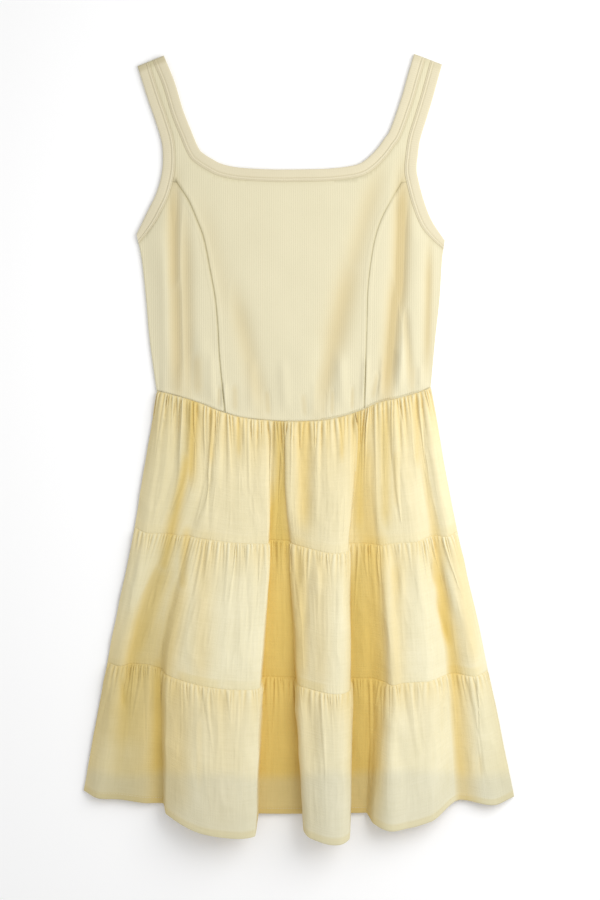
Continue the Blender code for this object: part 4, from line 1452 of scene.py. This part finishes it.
def stitch_shape():
    """Points and faces of one lying stitch, a unit long, modelled once."""
    clear_selection()
    bpy.ops.mesh.primitive_uv_sphere_add(segments=6, ring_count=5, radius=0.5)
    made = bpy.context.object
    bpy.ops.object.mode_set(mode="EDIT")
    bpy.ops.mesh.select_all(action="SELECT")
    bpy.ops.transform.rotate(value=math.pi / 2, orient_axis="Y", center_override=(0, 0, 0))
    bpy.ops.object.mode_set(mode="OBJECT")
    points = np.array([v.co for v in made.data.vertices])
    faces = [tuple(face.vertices) for face in made.data.polygons]
    bpy.data.objects.remove(made, do_unlink=True)
    return points, faces


def point_at(line, along, at):
    """The values of a line of 3-D points or vectors at a distance along it."""
    return np.array([np.interp(at, along, line[:, k]) for k in range(3)])


def add_stitches(name, runs, sizes):
    """One joined mesh of stitches along runs of (points, up vectors), each in millimetres."""
    shape, shape_faces = stitch_shape()
    length, gap, thread = sizes.stitch / MM, sizes.stitch_gap / MM, sizes.thread / MM
    points, faces = [], []
    for line, up in runs:
        along = lengths_along(line)
        for start in np.arange(gap, along[-1] - length, length + gap):
            middle = start + length / 2
            ahead = point_at(line, along, start + length) - point_at(line, along, start)
            ahead /= np.linalg.norm(ahead)
            rise = point_at(up, along, middle)
            rise -= ahead * (rise @ ahead)
            rise /= np.linalg.norm(rise)
            axes = np.array([ahead, np.cross(rise, ahead), rise])
            faces += [tuple(i + len(points) * len(shape) for i in face) for face in shape_faces]
            points.append(point_at(line, along, middle) + (shape * (length, thread, thread)) @ axes)
    points = np.vstack(points)
    return add_cloth(name, points, faces, points[:, :2])


def tinted(name, description, default):
    return bpy.props.FloatVectorProperty(
        name=name, description=description, subtype="COLOR", default=default
    )


def metres(name, description, default):
    return bpy.props.FloatProperty(name=name, description=description, unit="LENGTH", default=default)


class ClothColours(bpy.types.PropertyGroup):
    """Colours of the cloths, as linear values."""

    jersey: tinted("Rib jersey", "Crests of the bodice's ribs", (0.70, 0.645, 0.45))
    # Painted shade: the rib troughs a little darker than the crests
    jersey_low: tinted("Between ribs", "Troughs of the bodice's ribs", (0.665, 0.61, 0.415))
    binding: tinted("Binding", "Rib band at neck and armholes", (0.675, 0.61, 0.43))
    voile: tinted("Voile", "Skirt cloth on its ridges", (0.79, 0.745, 0.53))
    # Painted shade: the voile's darker, richer colour deep in a fold, in part the real tone of voile over
    # folded layers
    voile_deep: tinted("Voile, deep", "Skirt cloth deep in a fold", (0.70, 0.50, 0.135))
    bare_tint: tinted("Unlined", "Tint of the skirt below the lining's hem", (0.90, 0.915, 0.96))
    double_tint: tinted("Double", "Tint of hem and seam allowances", (0.97, 0.94, 0.84))
    shade_tint: tinted("Shaded", "Tint of the skirt in the shade of its folds", (0.80, 0.83, 0.86))
    lining: tinted("Lining", "Plain lining", (0.68, 0.61, 0.41))
    thread: tinted("Thread", "Sewing thread", (0.68, 0.61, 0.42))
    floor: tinted("Floor", "Pale floor", (0.97, 0.97, 0.97))


class ClothSizes(bpy.types.PropertyGroup):
    """Sizes of the sewing."""

    stitch: metres("Stitch", "Length of a stitch", 0.0024)
    stitch_gap: metres("Stitch gap", "Gap between two stitches", 0.0006)
    thread: metres("Thread", "Thickness of the thread", 0.00045)


class Studio(bpy.types.PropertyGroup):
    """Light and view of the studio."""

    picture_height: metres("Picture height", "Height of the floor that the picture shows", 1.0292)
    camera_height: metres("Camera height", "Camera above the floor", 4.0)
    key_size: metres("Key light size", "Side of the soft key light", 0.9)
    key_power: bpy.props.FloatProperty(
        name="Key light power", description="Power of the soft key light", unit="POWER", default=6.9
    )
    surround: bpy.props.FloatProperty(
        name="Surround", description="Strength of the even white light from all round", default=0.76
    )


class SUNDRESS_OT_stage(bpy.types.Operator):
    """Lays the pale floor and sets the studio lights and the camera"""

    bl_idname = "sundress.stage"
    bl_label = "Stage"

    def execute(self, context):
        scene = context.scene
        studio = scene.sundress_studio
        clear_selection()
        bpy.ops.mesh.primitive_plane_add(size=FLOOR_SIZE, location=(0, 0, FLOOR_Z))
        floor = context.object
        floor.name = "floor"
        floor.data.materials.append(floor_material(scene.sundress_colours.floor))
        scene.view_settings.view_transform = "Standard"
        self.add_light(scene, studio)
        self.add_camera(scene, studio)
        return {"FINISHED"}

    def add_light(self, scene, studio):
        """An even white surround and one soft key light from the right."""
        scene.world = bpy.data.worlds.new("studio")
        scene.world.use_nodes = True
        background = scene.world.node_tree.nodes["Background"]
        background.inputs["Color"].default_value = WHITE
        background.inputs["Strength"].default_value = studio.surround
        key = bpy.data.lights.new("key", "AREA")
        key.size = studio.key_size
        key.energy = studio.key_power
        lamp = bpy.data.objects.new("key", key)
        lamp.location = KEY_LIGHT_PLACE
        lamp.rotation_euler = (-Vector(KEY_LIGHT_PLACE)).to_track_quat("-Z", "Y").to_euler()
        scene.collection.objects.link(lamp)

    def add_camera(self, scene, studio):
        """A camera straight above, whose sensor holds the picture's height."""
        view = bpy.data.cameras.new("camera")
        view.sensor_width = SENSOR_WIDTH
        view.lens = SENSOR_WIDTH * studio.camera_height / studio.picture_height
        scene.camera = bpy.data.objects.new("camera", view)
        scene.camera.location = (*CAMERA_PLACE, studio.camera_height)
        scene.collection.objects.link(scene.camera)


class SUNDRESS_OT_skirt_front(bpy.types.Operator):
    """Gathers the three front tiers of the skirt and stitches the hem"""

    bl_idname = "sundress.skirt_front"
    bl_label = "Skirt front"

    def execute(self, context):
        colours = context.scene.sundress_colours
        voile = voile_material("voile", colours)
        for index, tier in enumerate(TIERS):
            form = FrontTier(index)
            piece = add_cloth(tier.node.replace("skirt", "voile"), *form.mesh())
            lay(piece, tier.node, voile)
        near = min(form.rows, key=lambda row: abs(form.length - row.below - HEM_STITCH_UP))
        hem = add_stitches("hem_stitches", [(near.outer, near.out)], context.scene.sundress_sizes)
        dress(hem, thread_material(colours.thread))
        return {"FINISHED"}


class SUNDRESS_OT_skirt_back(bpy.types.Operator):
    """Lays the three back tiers of the skirt flat on the surface"""

    bl_idname = "sundress.skirt_back"
    bl_label = "Skirt back"

    def execute(self, context):
        cloth = plain_material("voile back", context.scene.sundress_colours.voile)
        for index, tier in enumerate(TIERS):
            node = tier.node.replace("front", "back")
            top = flat_tier(index)
            piece = add_slab(node.replace("skirt", "voile"), top, 0.0)
            lay(piece, node, cloth)
        return {"FINISHED"}


class SUNDRESS_OT_lining(bpy.types.Operator):
    """Lays the front and back of the lining between the skirt's layers"""

    bl_idname = "sundress.lining"
    bl_label = "Lining"

    def execute(self, context):
        cloth = plain_material("lining", context.scene.sundress_colours.lining)
        layers = (
            ("lining_back", LINING_BACK_UNDER, "skirt_tier_2_back"),
            ("lining_front", LINING_FRONT_UNDER, "lining_back"),
        )
        for node, under, below in layers:
            piece = add_slab(node + "_cloth", lining_grid(under), under)
            lay(piece, node, cloth)
        return {"FINISHED"}


class SUNDRESS_OT_bodice(bpy.types.Operator):
    """Cuts the ribbed panels of the bodice and lays its back"""

    bl_idname = "sundress.bodice"
    bl_label = "Bodice"

    def execute(self, context):
        colours = context.scene.sundress_colours
        jersey = jersey_material("rib jersey", linear(colours.jersey), linear(colours.jersey_low))
        form = BodiceForm()
        outlines, seams = panel_outlines()
        for part in ("centre", "side_left", "side_right"):
            node = "bodice_front_" + part
            piece = add_rib_panel(node + "_jersey", outlines[part], form, seams)
            lay(piece, node, jersey)
        edge = inset(outlines["back"], SEAM_GAP / 2)
        plan, plan_faces = coarse_points(edge, BODICE_BACK_STEP)
        top = np.column_stack([plan, np.full(len(plan), BODICE_WALL)])
        points, faces = wall(top, plan_faces, top * (1, 1, 0), plan_faces, list(reversed(range(len(edge)))))
        # Painted shade between the ribs of the back, as on the front
        ribs = {"rib": rib_wave(points[:, 0])}
        piece = add_cloth("bodice_back_jersey", points, faces, points[:, :2], ribs)
        lay(piece, "bodice_back", jersey)
        return {"FINISHED"}


class SUNDRESS_OT_bindings(bpy.types.Operator):
    """Binds the neck and the armholes with rib band and twin-needle stitches"""

    bl_idname = "sundress.bindings"
    bl_label = "Bindings"

    def execute(self, context):
        colours = context.scene.sundress_colours
        # Painted shade: the band's rib troughs at 0.92 of its colour
        band = jersey_material("rib band", linear(colours.binding), linear(colours.binding, 0.92))
        thread = thread_material(colours.thread)
        form = BodiceForm()
        edges = (
            ("neck_binding", NECK_EDGE, -1),
            ("armhole_binding_left", ARMHOLE_LEFT, 1),
            ("armhole_binding_right", ARMHOLE_RIGHT, -1),
        )
        for name, edge_line, side in edges:
            even = curve(edge_line, STATION_STEP)
            front = add_binding(name + "_band", edge_line, side, form)
            lay(front, name + "_front", band)
            runs = []
            for line in STITCH_LINES:
                plan = beside(even, side * line)
                top = form.middle(plan) + BAND_HEIGHT * STITCH_HEIGHT
                run = np.column_stack([plan, top])[STITCH_ENDS:-STITCH_ENDS]
                runs.append((run, np.tile([0.0, 0.0, 1.0], (len(run), 1))))
            stitches = add_stitches(name + "_stitches", runs, context.scene.sundress_sizes)
            dress(stitches, thread)
            back = add_slab(name + "_back_band", back_binding(edge_line, side), 0.0)
            lay(back, name + "_back", band)
        return {"FINISHED"}


GROUPS = {"sundress_sizes": ClothSizes, "sundress_colours": ClothColours, "sundress_studio": Studio}
STEPS = (
    SUNDRESS_OT_stage, SUNDRESS_OT_skirt_front, SUNDRESS_OT_skirt_back, SUNDRESS_OT_lining,
    SUNDRESS_OT_bodice, SUNDRESS_OT_bindings,
)


class SUNDRESS_PT_panel(bpy.types.Panel):
    """Lists the sizes, the colours and the steps"""

    bl_idname = "SUNDRESS_PT_panel"
    bl_label = "Sundress"
    bl_space_type = "VIEW_3D"
    bl_region_type = "UI"
    bl_category = "Sundress"

    def draw(self, context):
        for name, kind in GROUPS.items():
            for setting in kind.__annotations__:
                self.layout.prop(getattr(context.scene, name), setting)
        for step in STEPS:
            self.layout.operator(step.bl_idname)


CLASSES = (*GROUPS.values(), *STEPS, SUNDRESS_PT_panel)


def register():
    for made in CLASSES:
        bpy.utils.register_class(made)
    for name, kind in GROUPS.items():
        setattr(bpy.types.Scene, name, bpy.props.PointerProperty(type=kind))


def unregister():
    for name in GROUPS:
        delattr(bpy.types.Scene, name)
    for made in reversed(CLASSES):
        bpy.utils.unregister_class(made)


def main():
    register()
    bpy.ops.sundress.stage()
    bpy.ops.sundress.skirt_front()
    bpy.ops.sundress.skirt_back()
    bpy.ops.sundress.lining()
    bpy.ops.sundress.bodice()
    bpy.ops.sundress.bindings()


if __name__ == "__main__":
    main()
